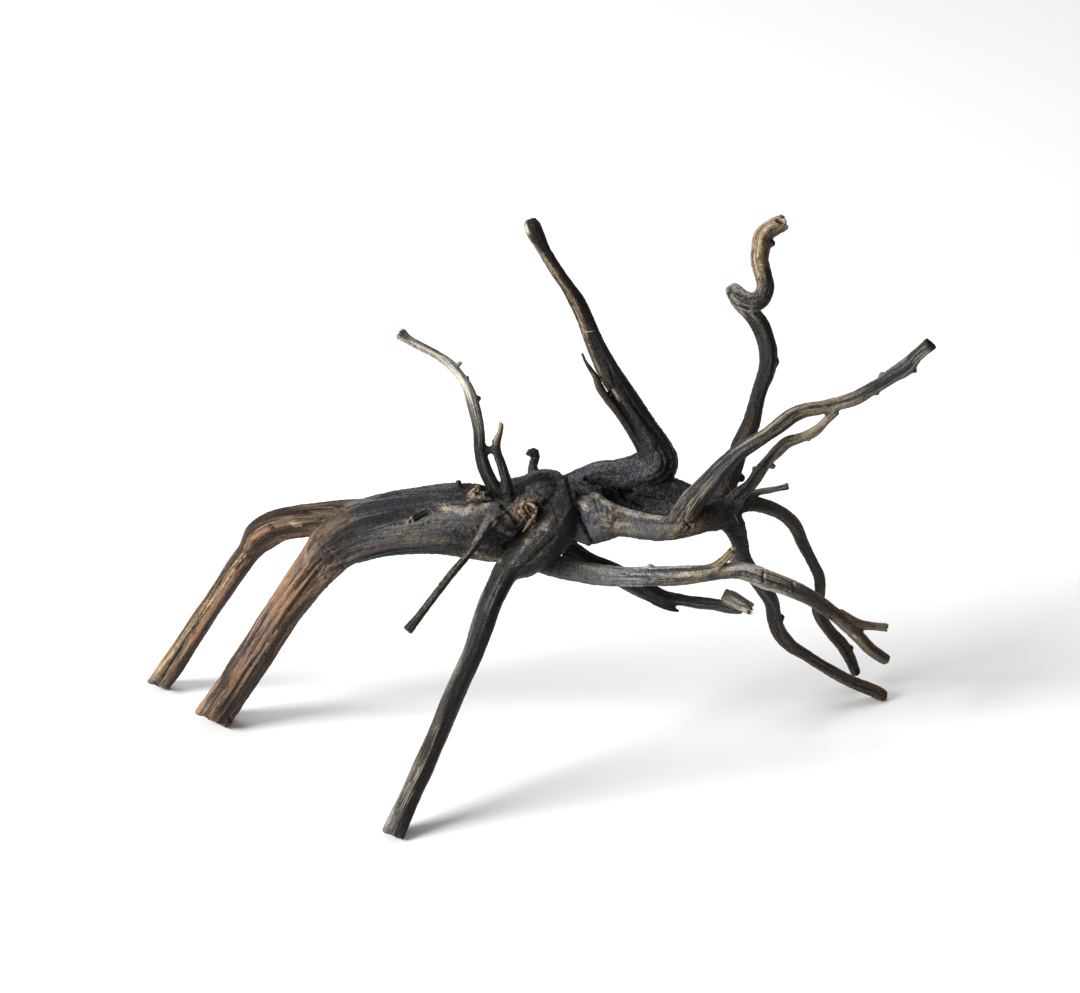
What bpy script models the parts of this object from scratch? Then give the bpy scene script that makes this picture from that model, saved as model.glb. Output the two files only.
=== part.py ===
# A dark driftwood root, grown as one piece. Its trunk stands on three sawn legs and on the tip of one drooping root,
# and the other roots rise, arch and fork from it.
# Every limb is drawn as stations along its middle. A station is (across, up, back, radius) in millimetres: across and up
# in a front drawing of the root, seen from a little above, and back from the drawing's plane, away from the eye.
import math

import bmesh
import bpy
import numpy as np
from mathutils import Vector, noise

MM = 0.001
NODE_NAME = "driftwood_root"

# The front drawing: how far the eye is from its plane, how far above level it looks down, and where its middle is
EYE_DISTANCE = 1200.0
EYE_ELEVATION = math.radians(30.0)
DRAWING_MIDDLE = (9.3, 13.2, 138.8)

# The wood's surface
GIRTH_SPARE = 0.1  # what smoothing takes off a limb's radius, put back first
ROUTE_STEP = 1.5
VOXEL = 0.8
SMOOTH_ROUNDS = 4
FLUTES = ((3, 0.045, 140.0), (5, 0.03, 90.0))  # how many round the limb, their depth over its radius, and their twist's length
SWELLING = 0.35  # millimetres of slow unevenness
SWELLING_LENGTH = 14.0
MOST_TRIANGLES = 11400

# Each limb's stations, from where it leaves the trunk or its parent to its end
LIMBS = {
    "trunk": [
        (-101, -22, 3, 13), (-93.5, -18.8, 1, 14.8), (-84, -16, 0, 15.5), (-70, -13, 0, 16.3), (-55, -12, 0, 17),
        (-40, -11.8, 0, 18.5), (-25, -13.6, 0, 19), (-14, -13.2, 1, 18.6), (-3, -10, 3, 19.4), (8, -8.5, 5, 17.3),
        (19, -6, 6, 14.5), (30, -4.5, 8, 12),
    ],
    "big_leg": [
        (-94, -18.5, 1, 14), (-102.5, -24.5, 4, 12.8), (-109.3, -32, 9, 11.3), (-118, -42.3, 17, 10),
        (-129.2, -57.5, 29, 9.4), (-140.4, -75.6, 42, 9.3), (-152, -94, 56, 9.4), (-164.5, -112, 69, 9.5),
        (-171, -122, 76, 9.5),
    ],
    "small_leg": [
        (-84, -10, 2, 9), (-97.5, -10.5, 4, 8.5), (-111, -11.3, 7, 8.2), (-122, -12.1, 10, 7.8), (-131.9, -14.2, 14, 8.1),
        (-139.7, -19.3, 20, 8), (-145.4, -26.7, 28, 5.9), (-151.7, -35.4, 37, 5.6), (-159.6, -47.6, 49, 5.2),
        (-171, -64.8, 67, 5.8), (-181.8, -81, 83, 6), (-191.8, -94.5, 97, 6), (-197, -101.5, 104, 6),
    ],
    "front_leg": [
        (14, 1, -4, 6), (11, -7, -9, 8.5), (7, -15.5, -12, 10.3), (0.5, -23.5, -13, 10.5), (-7.2, -30.8, -14, 9.3),
        (-15.9, -36.7, -15, 6.7), (-20.8, -45, -16, 6), (-25.2, -54.3, -17, 5.7), (-28.7, -64.3, -17.5, 5.5),
        (-33.3, -76.7, -17.5, 5.3), (-42.8, -97.5, -17, 5.1), (-52.2, -120.5, -16.5, 5.1), (-64.7, -148.5, -15.5, 5.1),
        (-74.5, -170, -15, 5.6), (-77.5, -176.5, -15, 5.6),
    ],
    "stick": [
        (-20, -10, -15, 3), (-25, -12.8, -19, 2.8), (-30.2, -20.5, -20, 2.5), (-36.3, -29, -21, 2.2),
        (-44.1, -38.2, -23, 2), (-51.8, -48.4, -25, 2.1), (-59.5, -58.7, -27, 2.1), (-66.5, -67.5, -29, 2.6),
        (-69, -70.5, -29.6, 2.6),
    ],
    "pale_twig": [
        (-20, -0.5, -9, 4.5), (-24.5, 7, -11, 3.6), (-28, 14.8, -12, 3.4), (-30, 23, -13, 3.2), (-30.7, 33, -14, 2.8),
        (-32.7, 43, -14.5, 3), (-35.8, 53, -15, 2.9), (-39.9, 60.2, -15.5, 2.2), (-45.7, 66.7, -16, 2.4),
        (-52.4, 71.2, -16.5, 2.1), (-60, 75, -17, 2.1), (-66.2, 78.3, -17.5, 2.2), (-70.4, 81.6, -18, 3.2),
    ],
    "short_twig": [
        (-15.5, -2, -12, 3), (-17, 6.5, -13, 2.5), (-19.5, 15, -13.5, 2.3), (-21.8, 22, -14, 2.3),
        (-22, 28, -14, 2.1), (-20.5, 32, -14, 1.5), (-19.6, 36.5, -14, 1.1),
    ],
    "twig_bridge": [(-30, 22, -13, 1.8), (-25.5, 23.2, -13.5, 2.2), (-21.5, 23.5, -14, 1.8)],
    "curl_ridge": [(-16, 4.8, 3, 4.2), (-9, 5.6, 6, 4.2), (-4, 8, 9, 4), (0.5, 10, 11, 3.7), (6.5, 10.2, 11, 3.3), (11, 7, 8, 3)],
    "curl": [
        (-4, 10, 11, 2.6), (-3.8, 15.5, 12, 2.2), (-2.9, 19.5, 13, 2.3), (-3, 21.7, 13, 2.5), (-4.6, 22, 12.5, 2.4),
        (-5.9, 20.4, 12, 2.2),
    ],
    "tall_root": [
        (8, 0, 6, 8), (19, 6, 6, 7.5), (28.5, 10, 6, 7.5), (38.5, 10.5, 7, 8.3), (49, 12, 8, 9.7), (58.3, 16, 8, 10.8),
        (57, 24.3, 7.5, 8.9), (51.8, 34.3, 6.5, 6.9), (41.3, 51.3, 5, 5.9), (34.1, 62.8, 3, 5.4), (29, 72.8, 2, 4.9),
        (25.5, 80.6, 1, 4.6), (22, 89.2, -1, 4.1), (18, 97.9, -2, 3.9), (13.9, 104.7, -3, 3.3), (7.8, 113.6, -4.5, 2.9),
        (2.4, 122.4, -6, 2.9), (-1.4, 129.6, -7, 3.8), (-4, 135, -8, 4.1), (-5.6, 138.5, -8.5, 2.9),
    ],
    "splinter": [
        (55, 17, 5, 4.5), (50, 25, 4.5, 3), (44.8, 33, 3.5, 2.1), (38.5, 42.5, 2, 2), (33.5, 48.8, 1, 2), (29.5, 54.8, 0, 1.9),
        (27.3, 60, -0.5, 1.4), (23, 66.5, -1, 0.9), (20.4, 72, -2, 0.6),
    ],
    "groove_floor": [(12, -3, 8, 8), (25, -1.5, 10, 8), (38, -3, 10, 7.5), (50, -5.5, 9, 7), (65, -8, 7, 6.5), (78, -9, 5, 6)],
    "back_strand": [(48, 8, 9, 8.5), (60, 4.2, 9, 7.5), (71, -0.6, 8, 7.2), (80, -5.5, 7, 7), (90, -6.5, 6, 7.5)],
    "cross_arm": [
        (17.5, -8, 0, 11), (26, -11.5, -4, 13), (33, -12.3, -6, 10.5), (41, -13, -7, 7.3), (50, -14.8, -7, 6.9),
        (58, -15.9, -7, 6.4), (66, -15.8, -6.5, 6.2), (74, -14, -5, 6.6), (81.5, -11.2, -2, 6.8), (88, -9.3, 2, 7.8),
        (95, -7, 5, 7),
    ],
    "front_arm": [
        (60, -17, -4, 4.5), (67, -14.5, -6, 5.5), (72.5, -8.5, -8, 6.2), (76, -3, -9, 6), (80.2, 2, -10, 5.3), (86, 9, -11, 4.7), (92.3, 15.8, -12, 4.4),
        (99, 22, -13, 4.2), (106, 26.5, -14, 3.9), (113, 30.8, -15, 3.4), (120.5, 36.5, -16, 3.9), (126, 40.6, -17, 3.9),
        (132.5, 43.3, -17.5, 3.6), (140, 44.5, -18, 3.5), (149, 46.5, -18.5, 3.4), (157.5, 49.3, -19, 3.6),
        (165, 53.5, -20, 3.3), (171, 56.8, -21, 3.2), (176.3, 60.4, -22.5, 3.5), (183, 64.4, -25, 4), (188.6, 70.3, -29, 3.2),
        (195.4, 76.4, -34.3, 3.4),
    ],
    "side_arm": [
        (94, -6, 3, 5), (99.5, 0.8, 0, 3.7), (105, 5.8, -2, 2.9), (109.3, 12, -4, 3), (113.5, 17.7, -6, 2.4),
        (118.6, 22.8, -8, 2.9), (123.5, 27, -10, 3), (130.3, 29.3, -12, 2.6), (136.6, 32.2, -14, 2.7),
        (142.4, 37.4, -16, 2.1), (148, 43, -18, 2.5),
    ],
    "peg": [(103, -0.5, 6, 2.5), (108.5, 2, 8, 1.7), (115, 3.3, 9, 1.5), (120, 4.4, 9.7, 1.5), (123.8, 5.2, 10.2, 2)],
    "hook_root": [
        (89, -0.5, 10, 7), (93.7, 10, 13, 5.8), (97.5, 18, 15, 4.7), (100.1, 25.7, 17, 4.4), (105, 35.5, 19, 4.6),
        (107.5, 45, 20.5, 4.3), (110, 54, 22, 4), (113.1, 62.5, 23, 4.3), (114, 70.5, 24, 4.5), (112.6, 78, 24.5, 4.4),
        (109.6, 85.5, 25, 4.7), (105, 91.8, 25, 4.3), (100.2, 96.6, 24, 4.1), (97.2, 100.8, 20, 3.7), (96.4, 102.8, 14, 3.5),
        (97.5, 101.8, 8, 3.9), (101, 98.5, 5, 4.6), (106, 96.8, 4, 4.8), (110.5, 98.9, 4, 4.7), (112.8, 104.5, 4, 4.4),
        (111.4, 111.5, 5, 4.3), (109.7, 119, 6, 4.5), (110.5, 124.9, 6, 4.7), (111.4, 130.2, 5, 4.6), (115, 133.5, 4, 4.6),
        (118.5, 135.4, 3.5, 4.5), (122.2, 137.2, 3, 4.1),
    ],
    "back_arch": [
        (96, -5, 8, 5), (102.5, -3.7, 9, 4.4), (108.5, -4, 12, 4), (115, -5.8, 18, 3.7), (122, -9.3, 26, 3.5),
        (127.6, -15, 34, 3.5), (131.5, -23.5, 43, 3.1), (136, -32.5, 53, 3.1), (139.3, -40.5, 62, 3.1),
        (139.5, -49, 69, 2.8), (138.2, -56.2, 75, 2.9), (140.6, -61.8, 79, 3.1), (145, -67.9, 84, 3), (151.1, -74.8, 89, 3.1),
        (155.1, -81.8, 93, 2.8), (158, -88.7, 95.8, 2.5),
    ],
    "low_root": [
        (93, -9, 6, 6.5), (97, -15.2, 9, 5.5), (99.4, -22.3, 14, 4.2), (101.6, -30.5, 22, 3.8), (106, -38.5, 30, 4),
        (111.2, -46, 38, 3.9), (115.7, -53.2, 45, 4), (116.9, -61, 52, 3.9), (119.7, -68.1, 58, 3.6), (125.8, -75, 63, 3.2),
        (132.6, -79.1, 68, 3), (139.1, -83.3, 72, 2.9), (145, -86.9, 76, 2.9), (151, -90.5, 79, 3), (159, -94.1, 83, 3.2),
        (166, -96.8, 86, 3.4), (171, -99.2, 87.7, 3.3), (173, -99.9, 88.2, 2.3),
    ],
    "long_root": [
        (-4, -31, -8, 5), (4, -33.8, -9, 5.3), (15, -36.8, -9, 5.1), (30, -39.3, -8, 5.2), (42.5, -40, -7, 4.8),
        (55, -39.9, -6, 4.8), (70, -39.5, -4, 4.5), (80, -38.7, -3, 4.3), (90, -37.7, -1, 3.9), (100, -37, 2, 4.1),
        (107.7, -39, 4.5, 4.4), (112.6, -41.2, 7, 4.6), (120, -43.8, 11, 4.3), (129.4, -47.8, 17, 4), (136, -51.3, 22, 3.8),
        (141.9, -55.6, 26, 3.9), (148.5, -60.3, 30, 3.6), (154.5, -65.5, 34, 3.7), (159.8, -70.7, 37, 3.2),
        (163.8, -75.1, 39.5, 3), (168.5, -78.8, 42, 2.9), (173.3, -81.7, 44.5, 2.8),
    ],
    "fork": [
        (149, -59, 30, 3), (155, -62.5, 33, 2.9), (160.5, -64.2, 35.5, 2.4), (167, -65, 38, 2), (173.5, -65.6, 40.3, 2.2),
    ],
    "torn_stub": [(80, -37.5, -3, 3.5), (86.5, -35.3, -3, 2.9), (92, -31.3, -3, 2.5), (95.8, -27, -3, 2.2)],
    "under_root": [
        (12.5, -26, 10, 5.5), (24.5, -32.8, 12, 4.6), (35, -37.2, 13, 4.8), (45, -42.8, 14, 4.9), (54, -47.7, 15, 4.6),
        (62, -51, 15.5, 3.9), (70.1, -51.6, 16, 3), (78.5, -53, 16.5, 3), (86.6, -53.9, 17, 2.8), (94, -55.3, 17.5, 3),
        (101, -56, 18, 2.6),
    ],
    "under_splinter": [(57, -51.4, 15, 2.8), (63.5, -55, 15, 1.9), (69.3, -57.6, 15, 0.7)],
    "broken_stub": [(91.5, -49, 14, 3.2), (95.6, -51, 13.5, 3.6), (100.2, -53.8, 13, 3.5), (105.4, -56.6, 12.2, 3.2)],
    "high_scar": [(-30, -0.5, -12, 4), (-31.5, 3.5, -17, 3.5)],
    "low_scar": [(-3.5, -10.5, -14, 4.5), (-6, -7, -20, 4.3)],
}

# Where a limb is sawn through, as the cut's two ends in the front drawing, which sees each cut edge on
SAW_CUTS = {
    "big_leg": ((-171.5, -108.5), (-156, -116.3)),
    "small_leg": ((-196.5, -93), (-185, -97)),
    "front_leg": ((-79.5, -167.5), (-69.5, -172)),
    "stick": ((-68.5, -66), (-65, -69)),
}

# Knots and shoots broken off short: the middle of each and its radius, sunk in the limb that it grew from
NUBS = [
    (-41, 6.4, -7, 2.3), (-23.8, 27.7, -14, 1.1),
    (-40.5, 66.5, -16, 1.3), (-36.5, 59.5, -15.5, 1.3), (-31, 49, -14.5, 1.5),
    (171, 60.3, -21, 1.9), (187.3, 63, -26, 1.8), (168, 52, -20.5, 1.7),
    (118.5, 67, 24, 2.1), (100, 9.3, 14, 2.2), (117.3, 126, 6, 2),
    (106.8, 14, -3, 1.3), (116.2, 15, -5, 1.6), (134, 28.3, -12.5, 1.4),
    (24.7, -23.8, 0, 2.4), (96.8, -31, 4, 2.8),
    (122, -60.5, 52, 1.8), (156.3, -75.3, 90, 1.8), (55, -35, -6.5, 1.8),
]


def place(across, up, back):
    """The point of space that a point of the drawing stands for, in millimetres."""
    spread = (EYE_DISTANCE + back) / EYE_DISTANCE
    sine, cosine = math.sin(EYE_ELEVATION), math.cos(EYE_ELEVATION)
    x, y, z = DRAWING_MIDDLE
    return Vector((
        x + across * spread,
        y + up * spread * sine + back * cosine,
        z + up * spread * cosine - back * sine,
    ))


def smooth_route(stations):
    """Rows of x, y, z and radius every ROUTE_STEP along one smooth curve through the stations."""
    knots = np.array([(*place(*station[:3]), station[3]) for station in stations])
    knots = np.vstack([2 * knots[0] - knots[1], knots, 2 * knots[-1] - knots[-2]])
    route = []
    for first, start, end, last in zip(knots, knots[1:], knots[2:], knots[3:]):
        spans = [math.sqrt(math.dist(a[:3], b[:3])) for a, b in ((first, start), (start, end), (end, last))]
        t1, t2, t3 = np.cumsum(spans)
        steps = max(2, round(math.dist(start[:3], end[:3]) / ROUTE_STEP))
        for t in np.linspace(t1, t2, steps, endpoint=False):
            a1 = first + (start - first) * t / t1
            a2 = start + (end - start) * (t - t1) / (t2 - t1)
            a3 = end + (last - end) * (t - t2) / (t3 - t2)
            b1 = a1 + (a2 - a1) * t / t2
            b2 = a2 + (a3 - a2) * (t - t1) / (t3 - t1)
            route.append(b1 + (b2 - b1) * (t - t1) / (t2 - t1))
    route.append(knots[-2])
    return np.array(route)


def clear_scene():
    for thing in list(bpy.data.objects):
        bpy.data.objects.remove(thing, do_unlink=True)


def saw(tube, cut, end):
    """Saws a limb's tube through and takes its end away."""
    left, right = (place(*point, 0) for point in cut)
    eye = place(0, 0, -EYE_DISTANCE)
    across_cut = (right - left).cross(eye - left).normalized()
    if across_cut.dot(end - left) < 0:
        across_cut.negate()
    everything = tube.verts[:] + tube.edges[:] + tube.faces[:]
    made = bmesh.ops.bisect_plane(
        tube, geom=everything, dist=0.00001, plane_co=left * MM, plane_no=across_cut, clear_outer=True
    )
    rim = [part for part in made["geom_cut"] if isinstance(part, bmesh.types.BMEdge)]
    bmesh.ops.contextual_create(tube, geom=rim)


def limb_tube(name, route):
    """A limb as a closed round tube with flat ends."""
    curve = bpy.data.curves.new(name, "CURVE")
    curve.dimensions = "3D"
    curve.bevel_depth = MM
    curve.bevel_resolution = 8
    curve.use_fill_caps = True
    spline = curve.splines.new("POLY")
    spline.points.add(len(route) - 1)
    for point, (x, y, z, radius) in zip(spline.points, route):
        point.co = (x * MM, y * MM, z * MM, 1.0)
        point.radius = radius + GIRTH_SPARE
    guide = bpy.data.objects.new(name, curve)
    bpy.context.scene.collection.objects.link(guide)
    mesh = bpy.data.meshes.new_from_object(guide.evaluated_get(bpy.context.evaluated_depsgraph_get()))
    bpy.data.objects.remove(guide, do_unlink=True)
    tube = bmesh.new()
    tube.from_mesh(mesh)
    bmesh.ops.remove_doubles(tube, verts=tube.verts, dist=0.00001)
    if name in SAW_CUTS:
        saw(tube, SAW_CUTS[name], Vector(route[-1][:3]))
    tube.to_mesh(mesh)
    tube.free()
    return mesh


def joined_limbs(routes):
    """All limbs and nubs as one mesh of closed shapes that run into each other."""
    shell = bmesh.new()
    for name, route in routes.items():
        mesh = limb_tube(name, route)
        shell.from_mesh(mesh)
        bpy.data.meshes.remove(mesh)
    for across, up, back, radius in NUBS:
        ball = bmesh.ops.create_icosphere(shell, subdivisions=2, radius=radius * MM)
        bmesh.ops.translate(shell, verts=ball["verts"], vec=place(across, up, back) * MM)
    mesh = bpy.data.meshes.new(NODE_NAME)
    shell.to_mesh(mesh)
    shell.free()
    return mesh


def apply_modifiers(wood):
    graph = bpy.context.evaluated_depsgraph_get()
    wood.data = bpy.data.meshes.new_from_object(wood.evaluated_get(graph))
    wood.modifiers.clear()


def grow_together(wood):
    """Turns the limbs into one skin and rounds the forks between them."""
    remesh = wood.modifiers.new("grow together", "REMESH")
    remesh.mode = "VOXEL"
    remesh.voxel_size = VOXEL * MM
    soften = wood.modifiers.new("round the forks", "SMOOTH")
    soften.factor = 0.5
    soften.iterations = SMOOTH_ROUNDS
    apply_modifiers(wood)


def limb_frames(route):
    """For each point of a route, its direction along the limb and one side of it, carried along without twisting."""
    along = np.gradient(route[:, :3], axis=0)
    along /= np.linalg.norm(along, axis=1)[:, None]
    side = np.cross(along[0], (0.0, 0.0, 1.0))
    sides = []
    for direction in along:
        side = side - direction * np.dot(side, direction)
        side /= np.linalg.norm(side)
        sides.append(side)
    return along, np.array(sides)


def weather(wood, routes):
    """Raises the flutes along each limb and the slow swellings that driftwood keeps when its bark is gone."""
    middles, alongs, sides, radii, lengths = [], [], [], [], []
    for route in routes.values():
        along, side = limb_frames(route)
        middles.append(route[:, :3])
        alongs.append(along)
        sides.append(side)
        radii.append(route[:, 3])
        steps = np.linalg.norm(np.diff(route[:, :3], axis=0), axis=1)
        lengths.append(np.concatenate([[0.0], np.cumsum(steps)]))
    middles, alongs, sides = np.vstack(middles), np.vstack(alongs), np.vstack(sides)
    radii, lengths = np.concatenate(radii), np.concatenate(lengths)
    mesh = wood.data
    points = np.empty(len(mesh.vertices) * 3, np.float32)
    mesh.vertices.foreach_get("co", points)
    points = points.reshape(-1, 3).astype(float) / MM
    normals = np.empty(len(mesh.vertices) * 3, np.float32)
    mesh.vertex_normals.foreach_get("vector", normals)
    normals = normals.reshape(-1, 3)
    nearest = np.concatenate([
        np.argmin(np.linalg.norm(block[:, None] - middles[None], axis=2) - radii, axis=1)
        for block in np.array_split(points, len(points) // 2000 + 1)
    ])
    outwards = points - middles[nearest]
    turn = np.arctan2(
        np.einsum("ij,ij->i", outwards, np.cross(alongs[nearest], sides[nearest])),
        np.einsum("ij,ij->i", outwards, sides[nearest]),
    )
    rise = np.zeros(len(points))
    for count, depth, length in FLUTES:
        rise += depth * radii[nearest] * np.sin(count * turn + 2 * math.pi * lengths[nearest] / length)
    rise += [SWELLING * noise.noise(Vector(point) / SWELLING_LENGTH) for point in points]
    points += normals * rise[:, None]
    mesh.vertices.foreach_set("co", (points * MM).astype(np.float32).ravel())
    mesh.update()


def thin_out(wood):
    """Keeps the fewest triangles that hold the shape."""
    thin = wood.modifiers.new("thin out", "DECIMATE")
    thin.ratio = MOST_TRIANGLES / (2 * len(wood.data.polygons))
    apply_modifiers(wood)


def flatten_feet(wood):
    """Wears each foot flat where it stands, at height zero."""
    skin = bmesh.new()
    skin.from_mesh(wood.data)
    everything = skin.verts[:] + skin.edges[:] + skin.faces[:]
    made = bmesh.ops.bisect_plane(
        skin, geom=everything, dist=0.00001, plane_co=(0, 0, 0), plane_no=(0, 0, -1), clear_outer=True
    )
    rims = [part for part in made["geom_cut"] if isinstance(part, bmesh.types.BMEdge)]
    bmesh.ops.holes_fill(skin, edges=rims)
    bmesh.ops.triangulate(skin, faces=skin.faces[:])
    skin.to_mesh(wood.data)
    skin.free()


def wood_finish():
    finish = bpy.data.materials.new("dark weathered wood")
    finish.use_nodes = True
    shader = finish.node_tree.nodes["Principled BSDF"]
    shader.inputs["Base Color"].default_value = (0.045, 0.036, 0.030, 1.0)
    shader.inputs["Roughness"].default_value = 0.75
    shader.inputs["Metallic"].default_value = 0.0
    return finish


def main():
    clear_scene()
    routes = {name: smooth_route(stations) for name, stations in LIMBS.items()}
    collection = bpy.data.collections.new(NODE_NAME)
    bpy.context.scene.collection.children.link(collection)
    wood = bpy.data.objects.new(NODE_NAME, joined_limbs(routes))
    collection.objects.link(wood)
    grow_together(wood)
    weather(wood, routes)
    thin_out(wood)
    flatten_feet(wood)
    wood.data.name = NODE_NAME
    wood.data.materials.append(wood_finish())
    wood.data.shade_smooth()
    wood.data.set_sharp_from_angle(angle=math.radians(50.0))


main()
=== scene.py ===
# The looks of a dark driftwood root: one piece of weathered wood with its grain, cracks, knots, sawn and torn
# ends, grown round the same limbs as its solid, with the splinters and fibres of its torn places.
import math

import bmesh
import bpy
import numpy as np
from mathutils import Matrix, Vector


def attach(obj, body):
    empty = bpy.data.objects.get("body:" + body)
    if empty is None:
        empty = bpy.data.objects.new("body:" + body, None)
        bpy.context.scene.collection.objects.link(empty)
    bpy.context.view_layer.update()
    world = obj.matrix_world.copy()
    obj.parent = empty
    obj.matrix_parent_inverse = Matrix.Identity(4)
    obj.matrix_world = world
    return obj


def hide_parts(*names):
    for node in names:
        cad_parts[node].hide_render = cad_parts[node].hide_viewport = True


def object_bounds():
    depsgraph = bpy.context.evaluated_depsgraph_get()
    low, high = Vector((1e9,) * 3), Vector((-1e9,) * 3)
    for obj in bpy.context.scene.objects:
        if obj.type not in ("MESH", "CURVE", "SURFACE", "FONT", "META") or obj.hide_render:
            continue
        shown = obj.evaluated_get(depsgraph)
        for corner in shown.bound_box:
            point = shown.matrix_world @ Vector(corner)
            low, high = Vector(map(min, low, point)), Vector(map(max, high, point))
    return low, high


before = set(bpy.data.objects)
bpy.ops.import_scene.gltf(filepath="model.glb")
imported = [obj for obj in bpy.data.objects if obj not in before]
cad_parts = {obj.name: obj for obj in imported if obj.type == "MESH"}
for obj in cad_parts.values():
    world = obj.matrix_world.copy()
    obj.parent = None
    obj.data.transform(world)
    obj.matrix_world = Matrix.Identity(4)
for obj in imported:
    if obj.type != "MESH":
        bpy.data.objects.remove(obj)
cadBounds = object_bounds()
mm = 0.001

# The limbs are drawn from the front: how far the eye is from the drawing in mm, how far above level it looks
# down in degrees, and the drawing's middle
drawing = {"eyeDistance": 1200.0, "eyeElevation": 30.0, "middle": (9.3, 13.2, 138.8)}

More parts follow.
